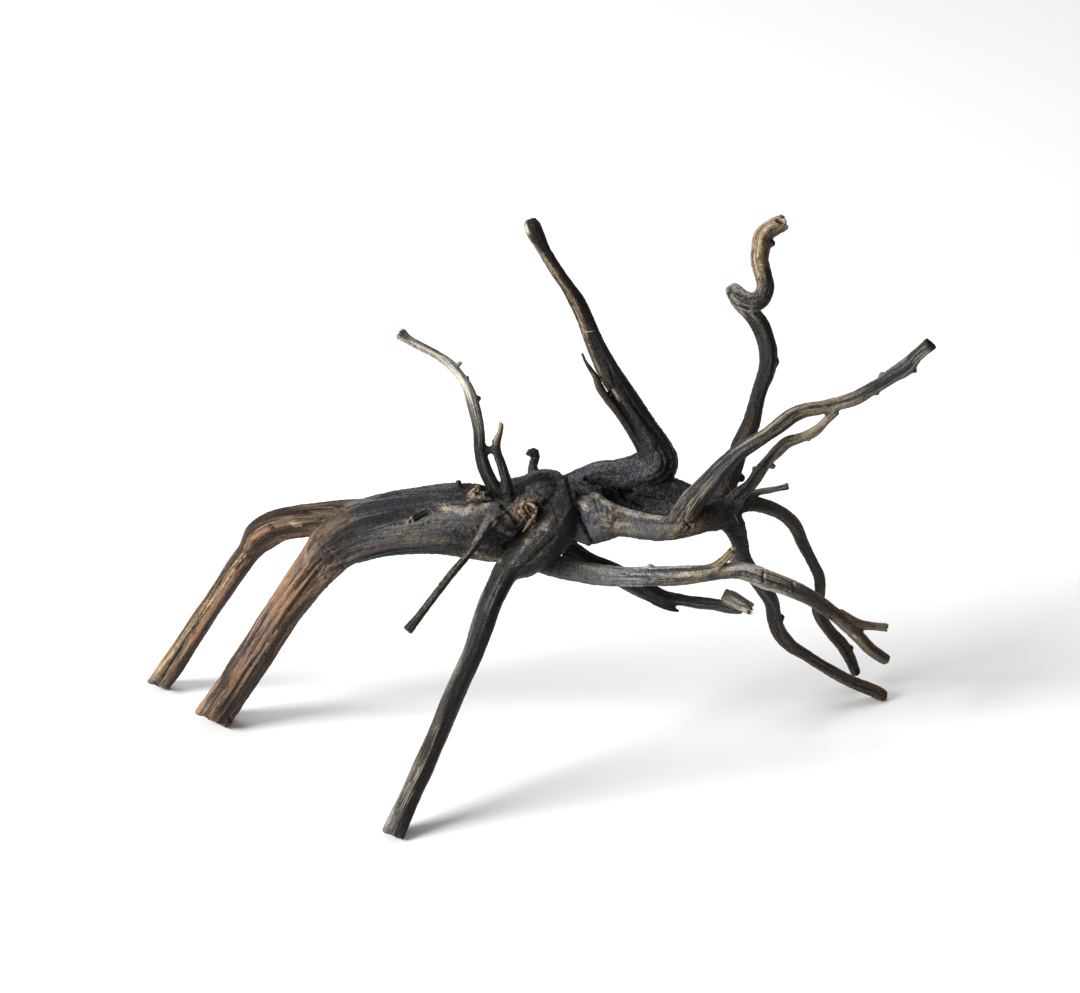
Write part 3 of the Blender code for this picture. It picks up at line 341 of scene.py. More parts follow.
# Marks on the wood, drawn from the front: the limbs they are on, a line of (across, up) and its width in mm,
# what they raise or sink, and the tone that they lay on the wood, with its strength
marks = [
    ("trunk", ((-62.5, -12), (-59.5, -10.3), (-56.8, -8.7)), 1.0, -1.6, "soot", 0.95),
    ("trunk", ((-66, -12.5), (-62, -8), (-56, -5.5), (-53, -8.5)), 1.2, 0.8, "sandGrey", 0.3),
    ("trunk", ((-66, -14), (-60, -13.8), (-55, -11)), 0.9, 0.5, None, 0),
    ("trunk", ((-64.6, -10.2), (-63.6, -12.8)), 0.7, 0.4, "bone", 0.7),
    ("trunk", ((-67.4, -11.4), (-66.4, -13.2)), 0.6, 0.4, "bone", 0.6),
    ("trunk stick", ((-50, -5), (-38, -7.5), (-28, -4.5)), 3.4, 0.2, "bone", 0.5),
    ("trunk", ((-110, -6), (-95, -3.5), (-80, 0)), 2.4, 0.25, "sandGrey", 0.6),
    ("trunk", ((-72, -20), (-60, -21), (-48, -22)), 2.4, 0.1, "sandGrey", 0.6),
    ("trunk front_leg", ((-34, -27.5), (-27, -30.5), (-21, -32)), 2.4, 0.2, "bone", 0.45),
    ("trunk high_scar", ((-28.5, 5), (-25, 3.5), (-22.5, 1)), 2.2, -2.2, "soot", 1.0),
    ("trunk high_scar", ((-34, -2.8), (-26, -2.6)), 0.7, -1.0, "soot", 0.9),
    ("trunk high_scar", ((-36, -1.5), (-31, -2.4), (-25.5, -0.5)), 1.3, 0.9, "tan", 0.6),
    ("trunk low_scar front_leg", ((-4.5, -13), (-4, -17.5), (-8, -22)), 2.2, 0.7, "tan", 0.45),
    ("trunk front_leg", ((3.5, -7), (-2, -14), (-6, -19.5)), 1.4, -0.9, "charcoal", 0.7),
    (
        "front_leg cross_arm trunk tall_root",
        ((13, 9), (16.5, -2), (20, -13), (26, -23)),
        1.3, -1.9, "charcoal", 0.95,
    ),
    ("trunk cross_arm tall_root", ((8, 8.5), (16, 6), (26, 2)), 2.2, 0.5, "charcoal", 0.5),
    ("trunk stick high_scar", ((-34, -5), (-28, -8), (-23, -11)), 2.6, 0.9, "charcoal", 0.4),
    ("trunk stick", ((-23, -14), (-18, -17.5), (-13, -18.5)), 2.6, 1.0, "slate", 0.5),
    ("trunk low_scar", ((-19, -5), (-15, -9), (-12, -13)), 2.0, -1.4, "charcoal", 0.9),
    ("trunk front_leg", ((-8, -17), (-12, -22), (-18, -26)), 1.8, -1.3, "charcoal", 0.9),
    ("trunk pale_twig short_twig", ((-21, 1), (-14, 0), (-8, 3)), 2.0, -0.9, "charcoal", 0.8),
    ("trunk curl_ridge curl", ((-9, 1), (0, 3.5), (8, 5)), 2.2, -0.9, "charcoal", 0.7),
    ("low_scar", ((-7.2, -5.4), (-4.6, -8.6)), 2.4, -1.6, "umber", 0.9),
    ("low_scar trunk", ((-1, -4), (1, -9), (-1.5, -14)), 1.8, -1.6, "soot", 0.9),
    ("high_scar", ((-30.5, 2.5), (-28.5, 1.5)), 1.3, -1.6, "umber", 0.9),
    # painted shade: the crevice between the cross arm's ridge and the tall root's foot, sunk and painted
    # near-black
    (
        "cross_arm groove_floor tall_root",
        ((23, 8.5), (32, 3.5), (43, 0.5), (51, -4.5)),
        2.0, -1.6, "charcoal", 1.0,
    ),
    # painted shadow: the soot band where the tall root's foot shades the groove floor
    ("groove_floor back_strand tall_root", ((30, 7), (42, 1.5), (54, -3), (62, -5)), 4.2, -0.5, "soot", 0.95),
    ("groove_floor back_strand", ((54, -4), (64, -5.5), (71, -8)), 3.2, 0.2, "slate", 0.7),
    ("cross_arm", ((19, -3), (24, -6.5)), 1.8, 0.3, "bone", 0.55),
    ("cross_arm", ((28, 0.5), (36, -5), (48, -9), (60, -10.5)), 2.3, 0.3, "bone", 0.65),
    ("cross_arm", ((29, -10), (35, -12.5), (43, -13)), 3.6, 0.1, "bone", 0.38),
    ("cross_arm", ((28, -15), (40, -17), (52, -18)), 2.0, 0.15, "sandGrey", 0.5),
    ("cross_arm front_arm", ((66, -19.5), (71, -15), (74, -8)), 3.2, 0.25, "tan", 0.75),
    ("cross_arm front_arm", ((73, -6), (71.5, -12), (75, -15.5)), 0.9, -0.7, "charcoal", 0.6),
    ("cross_arm", ((81, -3.5), (88, -1.2), (95, -2)), 2.2, 0.3, "slate", 0.6),
    ("cross_arm", ((91.5, 3), (95.5, -1)), 1.6, 0.5, "tan", 0.5),
    (
        "small_leg",
        ((-151.5, -29.5), (-164, -49.5), (-175, -67), (-182.5, -79.5), (-189, -90.5)),
        0.42, -1.3, "soot", 1.0,
    ),
    ("small_leg", ((-146, -24), (-157, -40), (-168, -56), (-180, -74), (-192, -91)), 2.2, 0.1, "cream", 0.7),
    ("small_leg", ((-138, -27.5), (-150, -44), (-163, -63), (-186, -96.5)), 2.4, -0.1, "umber", 0.9),
    ("front_leg", ((-25, -36), (-34, -58), (-48, -92), (-63, -128), (-77, -163)), 2.2, 0.1, "ash", 0.22),
    ("front_leg", ((-15, -42), (-26, -66), (-40, -97), (-56, -134), (-70, -168)), 2.4, -0.1, "soot", 0.7),
    ("front_leg", ((3, -14), (-8, -25), (-18, -38), (-27, -57)), 3.2, 0.15, "ash", 0.3),
    ("front_leg trunk", ((8, -8), (2, -16)), 2.4, 0.2, "cream", 0.35),
    ("front_leg", ((7, -20), (-4, -30.5), (-13, -39), (-21, -53)), 0.9, -0.6, "soot", 0.7),
    ("front_leg", ((-4, -18), (-14, -30), (-20.5, -42), (-26, -56)), 0.7, -0.5, "soot", 0.6),
    ("hook_root", ((115.5, 128), (118.5, 125)), 2.0, 0.0, "soot", 1.0),
    ("small_leg", ((-158, -37), (-163, -44), (-168, -54)), 0.55, -0.6, "umber", 0.7),
    ("small_leg", ((-125, -13.5), (-119, -14.5)), 1.5, 0.5, "bone", 0.55),
    ("small_leg", ((-135, -14.5), (-133, -16)), 1.3, -0.9, "charcoal", 0.7),
    ("small_leg", ((-117.5, -7.5), (-116, -8.5)), 1.6, -0.6, "umber", 0.6),
    ("big_leg trunk", ((-110, -23), (-104, -28), (-99.5, -33.5)), 0.8, 0.5, "bone", 0.35),
    ("big_leg trunk", ((-108.5, -24.5), (-102.5, -30), (-98.5, -35)), 0.7, -0.7, "charcoal", 0.6),
    ("big_leg", ((-106, -34), (-128, -63), (-155, -102), (-164, -115)), 1.9, 0.45, "tan", 0.35),
    ("big_leg", ((-101, -36), (-122, -64), (-148, -103), (-158, -116)), 1.2, -0.7, "umber", 0.7),
    ("big_leg", ((-112, -38), (-135, -70), (-163, -112)), 1.1, -0.6, "umber", 0.6),
    ("big_leg", ((-119, -33), (-135, -57), (-152, -82), (-169, -107)), 2.6, -0.2, "plum", 0.6),
    ("big_leg", ((-97, -42), (-119, -70), (-142, -103), (-151, -117)), 2.6, 0.0, "umber", 0.6),
    ("trunk big_leg", ((-106, -24), (-90, -25), (-70, -25)), 5.0, 0.0, "plum", 0.5),
    ("big_leg", ((-155.2, -111), (-154.8, -112)), 1.1, -1.4, "charcoal", 1.0),
    (
        "tall_root",
        ((-3.2, 125.5), (6.8, 112.3), (12, 104.5), (17.2, 96.8), (22.4, 81.3)),
        1.8, 0.1, "cream", 0.9,
    ),
    ("tall_root", ((22.4, 81.3), (26, 71), (30.5, 60)), 1.0, 0.1, "tan", 0.6),
    ("tall_root", ((-8.5, 138), (-6.5, 132.5)), 1.8, 0.2, "ash", 0.9),
    ("tall_root", ((34, 66), (37.5, 54), (44, 40), (50, 27)), 0.8, -0.7, "charcoal", 0.8),
    ("tall_root", ((52, 20), (60, 14), (70, 6), (78, 2)), 4.5, 0.0, "soot", 0.6),
    ("tall_root", ((46, 31), (52, 19), (60, 9)), 2.6, 0.1, "umber", 0.6),
    ("trunk front_leg", ((-2, 2), (6, -4), (9, -13)), 0.8, -0.7, "soot", 0.8),
    ("trunk cross_arm", ((17, 10), (21, 6), (24, 7)), 1.0, -0.9, "soot", 0.9),
    ("cross_arm", ((21, 3), (27, -2), (29, -8)), 0.7, -0.6, "soot", 0.7),
    ("tall_root", ((36.5, 53), (39, 48.5)), 1.3, 0.2, "bone", 0.6),
    ("hook_root", ((118, 139), (109.5, 131.5), (107.5, 120), (109.3, 111)), 2.2, 0.2, "cream", 0.45),
    ("hook_root", ((117, 135.5), (112.5, 128), (111.5, 118), (113.5, 110)), 2.2, 0.0, "umber", 0.6),
    ("hook_root", ((94, 99), (99, 95), (105, 93)), 2.6, 0.1, "ash", 0.35),
    ("hook_root", ((114.5, 118), (114.3, 108), (113, 100)), 1.6, -0.5, "charcoal", 0.75),
    ("hook_root", ((95, 103), (94.2, 99), (98, 95.6), (104, 94)), 1.2, -0.6, "charcoal", 0.7),
    ("hook_root", ((118, 138), (121, 136.5)), 1.1, -1.8, "charcoal", 0.9),
    ("front_arm", ((80, 6), (92, 20), (106, 29), (120, 39)), 1.6, 0.15, "sandGrey", 0.7),
    ("front_arm", ((130, 43), (146, 44), (160, 49)), 2.2, 0.2, "bone", 0.35),
    ("front_arm", ((104.5, 32.5), (106.5, 31)), 1.0, -0.9, "charcoal", 0.7),
    ("long_root", ((112.5, -40.5), (118, -42.5), (124.5, -45.5)), 2.4, 0.35, "ash", 0.85),
    ("long_root", ((111, -37.8), (118, -40), (126, -43.4)), 0.5, -0.5, "soot", 0.8),
    ("long_root", ((125.8, -43.4), (126.4, -47.5)), 0.5, -0.5, "soot", 0.8),
    ("long_root", ((111, -37.5), (111.5, -43)), 0.6, -0.6, "charcoal", 0.8),
    ("long_root", ((20, -35), (38, -38.5), (58, -40)), 2.0, 0.2, "bone", 0.3),
    ("long_root", ((58, -41), (70, -41), (82, -40)), 2.8, 0.2, "bone", 0.6),
    ("long_root", ((157, -69.5), (159.5, -71)), 1.6, 0.2, "bone", 0.6),
    ("long_root", ((40, -38.5), (46, -39.8), (55, -40.8)), 0.9, -0.4, "charcoal", 0.6),
    ("torn_stub long_root", ((86, -36), (93, -30), (96.5, -26)), 2.6, 0.2, "cream", 0.8),
    ("broken_stub", ((101, -56), (106, -57)), 3.2, -0.5, "bone", 0.9),
    ("stick", ((-29, -16.5), (-34, -24)), 0.9, 0.3, "sandGrey", 0.6),
]

# How marks are laid: shares of their width, and lengths in mm
markWork = {
    "facing": (-0.1, 0.25),     # how far a side faces the drawing's eye to show a mark, and to show it whole
    "edge": (0.35, 1.25),       # where a mark begins to fade, and where it ends
    "wander": 0.7,              # the width that a mark has before it wanders
    "slowWander": (0.45, 2.1),  # how far it wanders, and over what length
    "fineWander": (0.3, 0.9),
    "leastWander": 0.25,
    "reach": 3.0,
    "dryness": 0.5,             # how dry a mark is
}

# Limbs whose ends were torn or broken, not sawn, and the tone that the break bared
raggedEnds = {
    "hook_root": "bone", "broken_stub": "bone", "torn_stub": "tan", "high_scar": "sandGrey",
    "low_scar": "sandGrey", "short_twig": "tan", "pale_twig": "sandGrey", "small_leg": "tan",
    "fork": "sandGrey",
}

# Where the grain is lost in grit: how far along the limb from 0 to 1, and how much from 0 to 1
grittyParts = {
    "trunk": ((0.0, 0.25), (0.3, 0.5), (0.55, 0.95)),
    "front_leg": ((0.0, 0.9), (0.15, 0.6), (0.26, 0.25), (0.4, 0.1)),
    "cross_arm": ((0.0, 1.0), (0.6, 0.6), (1.0, 0.8)),
    "groove_floor": ((0.0, 1.0),),
    "back_strand": ((0.0, 1.0),),
    "curl_ridge": ((0.0, 1.0),),
    "curl": ((0.0, 0.8),),
    "tall_root": ((0.0, 0.8), (0.35, 0.7), (0.55, 0.3)),
    "high_scar": ((0.0, 0.8),),
    "low_scar": ((0.0, 0.8),),
    "long_root": ((0.0, 0.6), (0.5, 0.3)),
    "hook_root": ((0.0, 0.3), (0.55, 0.3), (0.6, 0.7), (0.72, 0.4)),
    "back_arch": ((0.0, 0.6), (0.3, 0.3)),
    "low_root": ((0.0, 0.7), (0.3, 0.3)),
    "stick": ((0.0, 0.9), (0.3, 0.4)),
}


def place(across, up, back):
    # the point in space that a point of the drawing stands for, in mm
    spread = (drawing["eyeDistance"] + back) / drawing["eyeDistance"]
    tilt = math.radians(drawing["eyeElevation"])
    x, y, z = drawing["middle"]
    return Vector((
        x + across * spread,
        y + up * spread * math.sin(tilt) + back * math.cos(tilt),
        z + up * spread * math.cos(tilt) - back * math.sin(tilt),
    ))


def drawn(points):
    # where points in space, in mm, lie in the drawing
    tilt = math.radians(drawing["eyeElevation"])
    offset = points - np.array(drawing["middle"])
    back = offset @ (0.0, math.cos(tilt), -math.sin(tilt))
    spread = (drawing["eyeDistance"] + back) / drawing["eyeDistance"]
    return np.stack([offset[:, 0] / spread, offset @ (0.0, math.sin(tilt), math.cos(tilt)) / spread], axis=1)


def eyePlace():
    return place(0, 0, -drawing["eyeDistance"])


def smoothRoute(stations):
    # one smooth curve through the stations, as rows of x, y, z and radius
    knots = np.array([(*place(*station[:3]), station[3]) for station in stations])
    knots = np.vstack([2 * knots[0] - knots[1], knots, 2 * knots[-1] - knots[-2]])
    route = []
    for first, start, end, last in zip(knots, knots[1:], knots[2:], knots[3:]):
        spans = [math.sqrt(math.dist(a[:3], b[:3])) for a, b in ((first, start), (start, end), (end, last))]
        t1, t2, t3 = np.cumsum(spans)
        steps = max(2, round(math.dist(start[:3], end[:3]) / woodWork["routeStep"]))
        for t in np.linspace(t1, t2, steps, endpoint=False):
            a1 = first + (start - first) * t / t1
            a2 = start + (end - start) * (t - t1) / (t2 - t1)
            a3 = end + (last - end) * (t - t2) / (t3 - t2)
            b1 = a1 + (a2 - a1) * t / t2
            b2 = a2 + (a3 - a2) * (t - t1) / (t3 - t1)
            route.append(b1 + (b2 - b1) * (t - t1) / (t2 - t1))
    route.append(knots[-2])
    return np.array(route)


def limbFrames(route):
    # at each row of a route: its direction, and two sides of it carried along without twisting
    along = np.gradient(route[:, :3], axis=0)
    along /= np.linalg.norm(along, axis=1)[:, None]
    side = np.cross(along[0], (0.0, 0.0, 1.0))
    sides = []
    for direction in along:
        side = side - direction * np.dot(side, direction)
        side /= np.linalg.norm(side)
        sides.append(side)
    sides = np.array(sides)
    return along, sides, np.cross(along, sides)


def ringMatrix(middle, along, side, other, radius):
    # lays the unit circle round a limb, in metres
    matrix = Matrix.Identity(4)
    for column, axis in enumerate((side * radius, other * radius, along * radius)):
        matrix.col[column].xyz = Vector(axis) * mm
    matrix.col[3].xyz = Vector(middle) * mm
    return matrix


def growLimb(route, around):
    # a closed tube: a disc that is extruded from ring to ring
    limb = bmesh.new()
    along, sides, others = limbFrames(route)
    rings = [
        ringMatrix(row[:3], *axes, row[3] + woodWork["girthSpare"])
        for row, *axes in zip(route, along, sides, others)
    ]
    bmesh.ops.create_circle(limb, cap_ends=True, segments=around, radius=1.0)
    bmesh.ops.transform(limb, matrix=rings[0], verts=limb.verts[:])
    tip = limb.faces[:][0]
    for before, after in zip(rings, rings[1:]):
        grown = bmesh.ops.extrude_face_region(limb, geom=[tip])
        tip = next(part for part in grown["geom"] if isinstance(part, bmesh.types.BMFace))
        bmesh.ops.transform(limb, matrix=after @ before.inverted(), verts=tip.verts[:])
    bmesh.ops.recalc_face_normals(limb, faces=limb.faces[:])
    return limb


def cutPlane(cut):
    # the plane of a saw cut, which the drawing sees edge on, as a point and a normal
    left, right = (place(*point, 0) for point in cut)
    return left, (right - left).cross(eyePlace() - left).normalized()


def sawThrough(limb, cut, end):
    # saws the tube through and closes it
    point, normal = cutPlane(cut)
    if normal.dot(end - point) < 0:
        normal.negate()
    everything = limb.verts[:] + limb.edges[:] + limb.faces[:]
    made = bmesh.ops.bisect_plane(
        limb, geom=everything, dist=0.00001, plane_co=point * mm, plane_no=normal, clear_outer=True
    )
    rim = [part for part in made["geom_cut"] if isinstance(part, bmesh.types.BMEdge)]
    bmesh.ops.holes_fill(limb, edges=rim)


def newPiece(name, shape):
    # an object made of a bmesh
    mesh = bpy.data.meshes.new(name)
    shape.to_mesh(mesh)
    shape.free()
    piece = bpy.data.objects.new(name, mesh)
    bpy.context.scene.collection.objects.link(piece)
    return piece


def addShape(whole, shape):
    # puts one bmesh into another
    mesh = bpy.data.meshes.new("shape")
    shape.to_mesh(mesh)
    shape.free()
    whole.from_mesh(mesh)
    bpy.data.meshes.remove(mesh)


def applyModifiers(piece):
    graph = bpy.context.evaluated_depsgraph_get()
    piece.data = bpy.data.meshes.new_from_object(piece.evaluated_get(graph))
    piece.modifiers.clear()


def growWood(routes):
    # all limbs and nubs, grown together into one skin
    wood = bmesh.new()
    for name, route in routes.items():
        limb = growLimb(route, woodWork["splitSides"].get(name, woodWork["sides"]))
        if name in sawCuts:
            sawThrough(limb, sawCuts[name], Vector(route[-1][:3]))
        addShape(wood, limb)
    for across, up, back, radius in nubs:
        ball = bmesh.ops.create_icosphere(wood, subdivisions=2, radius=radius * mm)
        bmesh.ops.translate(wood, verts=ball["verts"], vec=place(across, up, back) * mm)
    piece = newPiece("root_wood", wood)
    remesh = piece.modifiers.new("grow together", "REMESH")
    remesh.mode = "VOXEL"
    remesh.voxel_size = woodWork["voxel"] * mm
    soften = piece.modifiers.new("round the forks", "SMOOTH")
    soften.factor = 0.5
    soften.iterations = woodWork["smoothRounds"]
    applyModifiers(piece)
    return piece


def readPoints(mesh):
    # vertex places in mm and their normals
    points = np.empty(len(mesh.vertices) * 3, np.float32)
    mesh.vertices.foreach_get("co", points)
    normals = np.empty(len(mesh.vertices) * 3, np.float32)
    mesh.vertex_normals.foreach_get("vector", normals)
    return points.reshape(-1, 3).astype(float) / mm, normals.reshape(-1, 3).astype(float)


def smoothStep(low, high, value):
    share = np.clip((value - low) / (high - low), 0.0, 1.0)
    return share * share * (3 - 2 * share)


def latticeNoise(points, seed):
    # smooth noise from -1 to 1, one octave
    base = np.floor(points).astype(np.int64)
    part = points - base
    part = part * part * (3 - 2 * part)
    total = np.zeros(len(points))
    for corner in range(8):
        step = np.array([corner & 1, corner >> 1 & 1, corner >> 2 & 1])
        cell = base + step
        # large odd numbers that mix a cell's place and the seed into one number below 2147483647
        mixed = cell @ np.array([374761393, 668265263, 1442695041]) + seed * 1274126177
        mixed = (mixed ^ (mixed >> 13)) * 1103515245 % 2147483647
        mixed = (mixed ^ (mixed >> 15)) * 48271 % 2147483647
        total += np.prod(np.where(step, part, 1 - part), axis=1) * (mixed / 1073741823.5 - 1)
    return total


def fractalNoise(points, seed):
    # the same with a second octave, half as large and half as strong
    return latticeNoise(points, seed) + latticeNoise(points * 2.0, seed + 1) / 2.0


def readGrain(routes):
    # all limbs as one table of rows, with each limb's own frames and lengths
    allRoutes = list(routes.values())
    return {
        "names": list(routes),
        "routes": allRoutes,
        "frames": [limbFrames(route) for route in allRoutes],
        "lengths": [
            np.concatenate([[0.0], np.cumsum(np.linalg.norm(np.diff(route[:, :3], axis=0), axis=1))])
            for route in allRoutes
        ],
        "starts": np.cumsum([0] + [len(route) for route in allRoutes][:-1]),
        "rows": np.vstack(allRoutes),
    }


def limbTip(grain, name):
    # a limb's number, its last station and the direction in which it ends
    index = grain["names"].index(name)
    return index, grain["routes"][index][-1], grain["frames"][index][0][-1]


def nearestLimbs(grain, points):
    # the two nearest limbs of each point, and how much of the first one's grain it takes
    middles, radii = grain["rows"][:, :3], grain["rows"][:, 3]
    first, second, share = [], [], []
    for block in np.array_split(points, len(points) // woodWork["limbsAtOnce"] + 1):
        square = (block ** 2).sum(1)[:, None] + (middles ** 2).sum(1) - 2 * block @ middles.T
        gaps = np.minimum.reduceat(np.sqrt(np.maximum(square, 0)) - radii, grain["starts"], axis=1)
        order = np.argpartition(gaps, 1, axis=1)[:, :2]
        near = np.take_along_axis(gaps, order, axis=1)
        order = np.where(near[:, :1] <= near[:, 1:], order, order[:, ::-1])
        first.append(order[:, 0])
        second.append(order[:, 1])
        share.append(0.5 + 0.5 * smoothStep(0, woodWork["blend"], np.abs(near[:, 1] - near[:, 0])))
    return np.concatenate(first), np.concatenate(second), np.concatenate(share)


def straighten(grain, points, limb):
    # each point's place in its straightened limb: two sides and the length, in mm, the radius there, and the
    # share of the limb's length
    spot = np.zeros((len(points), 3))
    radius, share = np.ones(len(points)), np.zeros(len(points))
    for index in np.unique(limb):
        here = np.nonzero(limb == index)[0]
        route, lengths = grain["routes"][index], grain["lengths"][index]
        along, sides, others = grain["frames"][index]
        for block in np.array_split(here, len(here) // woodWork["rowsAtOnce"] + 1):
            row = np.argmin(((points[block][:, None] - route[None, :, :3]) ** 2).sum(2), axis=1)
            offset = points[block] - route[row, :3]
            spot[block, 0] = (offset * sides[row]).sum(1)
            spot[block, 1] = (offset * others[row]).sum(1)
            spot[block, 2] = lengths[row] + (offset * along[row]).sum(1)
            radius[block] = route[row, 3]
            share[block] = spot[block, 2] / lengths[-1]
    return spot, radius, np.clip(share, 0, 1)


def limbRelief(spot, radius, limb):
    # how far the straightened grain stands proud of a limb, in mm
    shift = limb[:, None] * np.array([0.0, 0.0, woodWork["reliefShift"]])

    def stretched(noise, width, length, pattern):
        return noise(spot / (width, width, length) + shift, pattern)

    turn = np.arctan2(spot[:, 1], spot[:, 0])
    rise = np.zeros(len(spot))
    for count, depth, length in woodWork["flutes"]:
        rise += depth * radius * np.sin(count * turn + 2 * math.pi * spot[:, 2] / length)
    plain, least, most = woodWork["stoutness"]
    stout = np.clip(radius / plain, least, most)
    depth, *pattern = woodWork["coarse"]
    rise += depth * stout * stretched(fractalNoise, *pattern)
    depth, *pattern = woodWork["grain"]
    rise += depth * stretched(fractalNoise, *pattern)
    depth, *pattern = woodWork["crack"]
    line = stretched(latticeNoise, *pattern)
    where = smoothStep(*woodWork["crackedShare"], stretched(latticeNoise, *woodWork["cracked"]))
    rise -= depth * stout * where * np.clip(1 - np.abs(line) / woodWork["crackWidth"], 0, 1)
    return rise


def lineDistance(spots, line):
    # how far points of the drawing are from a line of points
    best = np.full(len(spots), np.inf)
    for start, end in zip(np.array(line[:-1], float), np.array(line[1:], float)):
        span = end - start
        share = np.clip((spots - start) @ span / (span @ span), 0, 1)
        best = np.minimum(best, np.linalg.norm(spots - start - share[:, None] * span, axis=1))
    return best


def laidMarks(points, normals, nearLimb, grain):
    # for each mark: what it raises, its tone and strength, the points it touches, and how far it covers them
    spots = drawn(points)
    toEye = np.array(eyePlace()) - points
    toEye /= np.linalg.norm(toEye, axis=1)[:, None]
    facing = smoothStep(*markWork["facing"], (normals * toEye).sum(1))
    slow, slowLength = markWork["slowWander"]
    fine, fineLength = markWork["fineWander"]
    wander = markWork["wander"] + slow * latticeNoise(points / slowLength, 77)
    wander = wander + fine * latticeNoise(points / fineLength, 78)
    for names, line, width, rise, tone, strength in marks:
        limbsHere = [grain["names"].index(name) for name in names.split()]
        here = np.nonzero(np.isin(nearLimb, limbsHere) & (facing > 0))[0]
        reach = markWork["reach"] * width
        low, high = np.min(line, axis=0) - reach, np.max(line, axis=0) + reach
        here = here[((spots[here] > low) & (spots[here] < high)).all(1)]
        if len(here):
            breadth = width * np.maximum(wander[here], markWork["leastWander"])
            gap = lineDistance(spots[here], line) / breadth
            yield rise, tone, strength, here, facing[here] * (1 - smoothStep(*markWork["edge"], gap))


def grittiness(grain, points, limb):
    # how far the grain is lost in grit, from 0 to 1
    part = straighten(grain, points, limb)[2]
    grit = np.zeros(len(points))
    for index in np.unique(limb):
        here = limb == index
        stops = grittyParts.get(grain["names"][index], ((0.0, woodWork["grit"]),))
        grit[here] = np.interp(part[here], [stop[0] for stop in stops], [stop[1] for stop in stops])
    return grit


def woodRelief(grain, points, normals, first, second, share):
    # how far the wood stands proud of its smooth skin, in mm, passing from limb to limb
    depth, length = woodWork["swelling"]
    rise = depth * latticeNoise(points / length, 3)
    for limb, weight in ((first, share), (second, 1 - share)):
        spot, radius, _ = straighten(grain, points, limb)
        rise += weight * limbRelief(spot, radius, limb)
    depth, size, deeper = woodWork["pits"]
    rise += depth * (1 + deeper * grittiness(grain, points, first)) * fractalNoise(points / size, 51)
    for height, _, _, here, cover in laidMarks(points, normals, first, grain):
        rise[here] += height * cover
    return rise


def hollowDepth(mesh, points, normals):
    # how deep each point lies below its neighbours' mean, in mm
    ends = np.empty(len(mesh.edges) * 2, np.int32)
    mesh.edges.foreach_get("vertices", ends)
    starts, stops = ends[0::2], ends[1::2]
    count = np.bincount(ends, minlength=len(points))[:, None]
    mean = points.copy()
    for _ in range(woodWork["hollowRounds"]):
        total = [
            np.bincount(starts, mean[stops, axis], len(points))
            + np.bincount(stops, mean[starts, axis], len(points))
            for axis in range(3)
        ]
        mean = 0.5 * mean + 0.5 * np.stack(total, axis=1) / count
    return ((mean - points) * normals).sum(1)


def weatherWood(wood, grain):
    # raises the grain, cracks, pits and marks out of the smooth skin, and frays the torn ends
    points, normals = readPoints(wood.data)
    first, second, share = nearestLimbs(grain, points)
    rise = woodRelief(grain, points, normals, first, second, share)
    points += normals * rise[:, None]
    fray, reach, width, plain = woodWork["fray"]
    for name in raggedEnds:
        index, tip, along = limbTip(grain, name)
        ahead = (points - tip[:3]) @ along
        here = np.nonzero((first == index) & (ahead > -reach))[0]
        ending = smoothStep(-reach, 0, ahead[here])
        flat = points[here] - (points[here] @ along)[:, None] * along
        flatTip = tip[:3] - (tip[:3] @ along) * along
        jag = fractalNoise(flat / width, 61) * ending
        crater = 1 - np.clip(np.linalg.norm(flat - flatTip, axis=1) / tip[3], 0, 1) ** 2
        torn = (fray * jag - woodWork["crater"] * crater * ending) * min(1, tip[3] / plain)
        points[here] += torn[:, None] * along
    points[:, 2] = np.maximum(points[:, 2], 0.0)   # the feet stand flat
    wood.data.vertices.foreach_set("co", (points * mm).astype(np.float32).ravel())
    wood.data.update()


def thinOut(wood):
    thin = wood.modifiers.new("thin out", "DECIMATE")
    thin.ratio = min(1.0, woodWork["mostTriangles"] / (2 * len(wood.data.polygons)))
    applyModifiers(wood)


def toneValues(name):
    deep, dry = tones[name]
    return np.array([*deep, *dry])


def woodTones(grain, points, normals, first, second, share):
    # each point's deep and dry colour, and how dry it is, darker and less dry as painted shade on the side
    # turned from the key light
    colours, dryness = np.zeros((len(points), 6)), np.zeros(len(points))
    for limb, weight in ((first, share), (second, 1 - share)):
        part = straighten(grain, points, limb)[2]
        for index in np.unique(limb):
            here = limb == index
            stops = limbTones[grain["names"][index]]
            at = [stop[0] for stop in stops]
            values = np.array([toneValues(stop[1]) for stop in stops])
            for channel in range(6):
                colours[here, channel] += weight[here] * np.interp(part[here], at, values[:, channel])
            dryness[here] += weight[here] * np.interp(part[here], at, [stop[2] for stop in stops])
    for _, tone, strength, here, cover in laidMarks(points, normals, first, grain):
        if tone:
            laid = strength * cover
            colours[here] += (toneValues(tone) - colours[here]) * laid[:, None]
            dryness[here] += (markWork["dryness"] - dryness[here]) * laid
    begin, full, most = woodWork["bared"]
    for name, tone in raggedEnds.items():
        index, tip, along = limbTip(grain, name)
        cover = (first == index) * smoothStep(begin, full, (points - tip[:3]) @ along) * most
        colours += (toneValues(tone) - colours) * cover[:, None]
    # painted shade: the side turned from the key light is darkened and made less dry
    shadeWay = np.array(woodWork["shadeSide"]) / np.linalg.norm(woodWork["shadeSide"])
    paintedShade = smoothStep(*woodWork["shadeEdge"], normals @ shadeWay)
    kept = 1 + paintedShade[:, None] * (np.array(woodWork["shadeColour"] * 2) - 1)
    return colours * kept, dryness - woodWork["shadeDryLoss"] * paintedShade


def layAttribute(mesh, title, kind, domain, values):
    layer = mesh.attributes.new(title, kind, domain)
    field = {"FLOAT": "value", "FLOAT_COLOR": "color", "FLOAT_VECTOR": "vector"}[kind]
    layer.data.foreach_set(field, values.astype(np.float32).ravel())


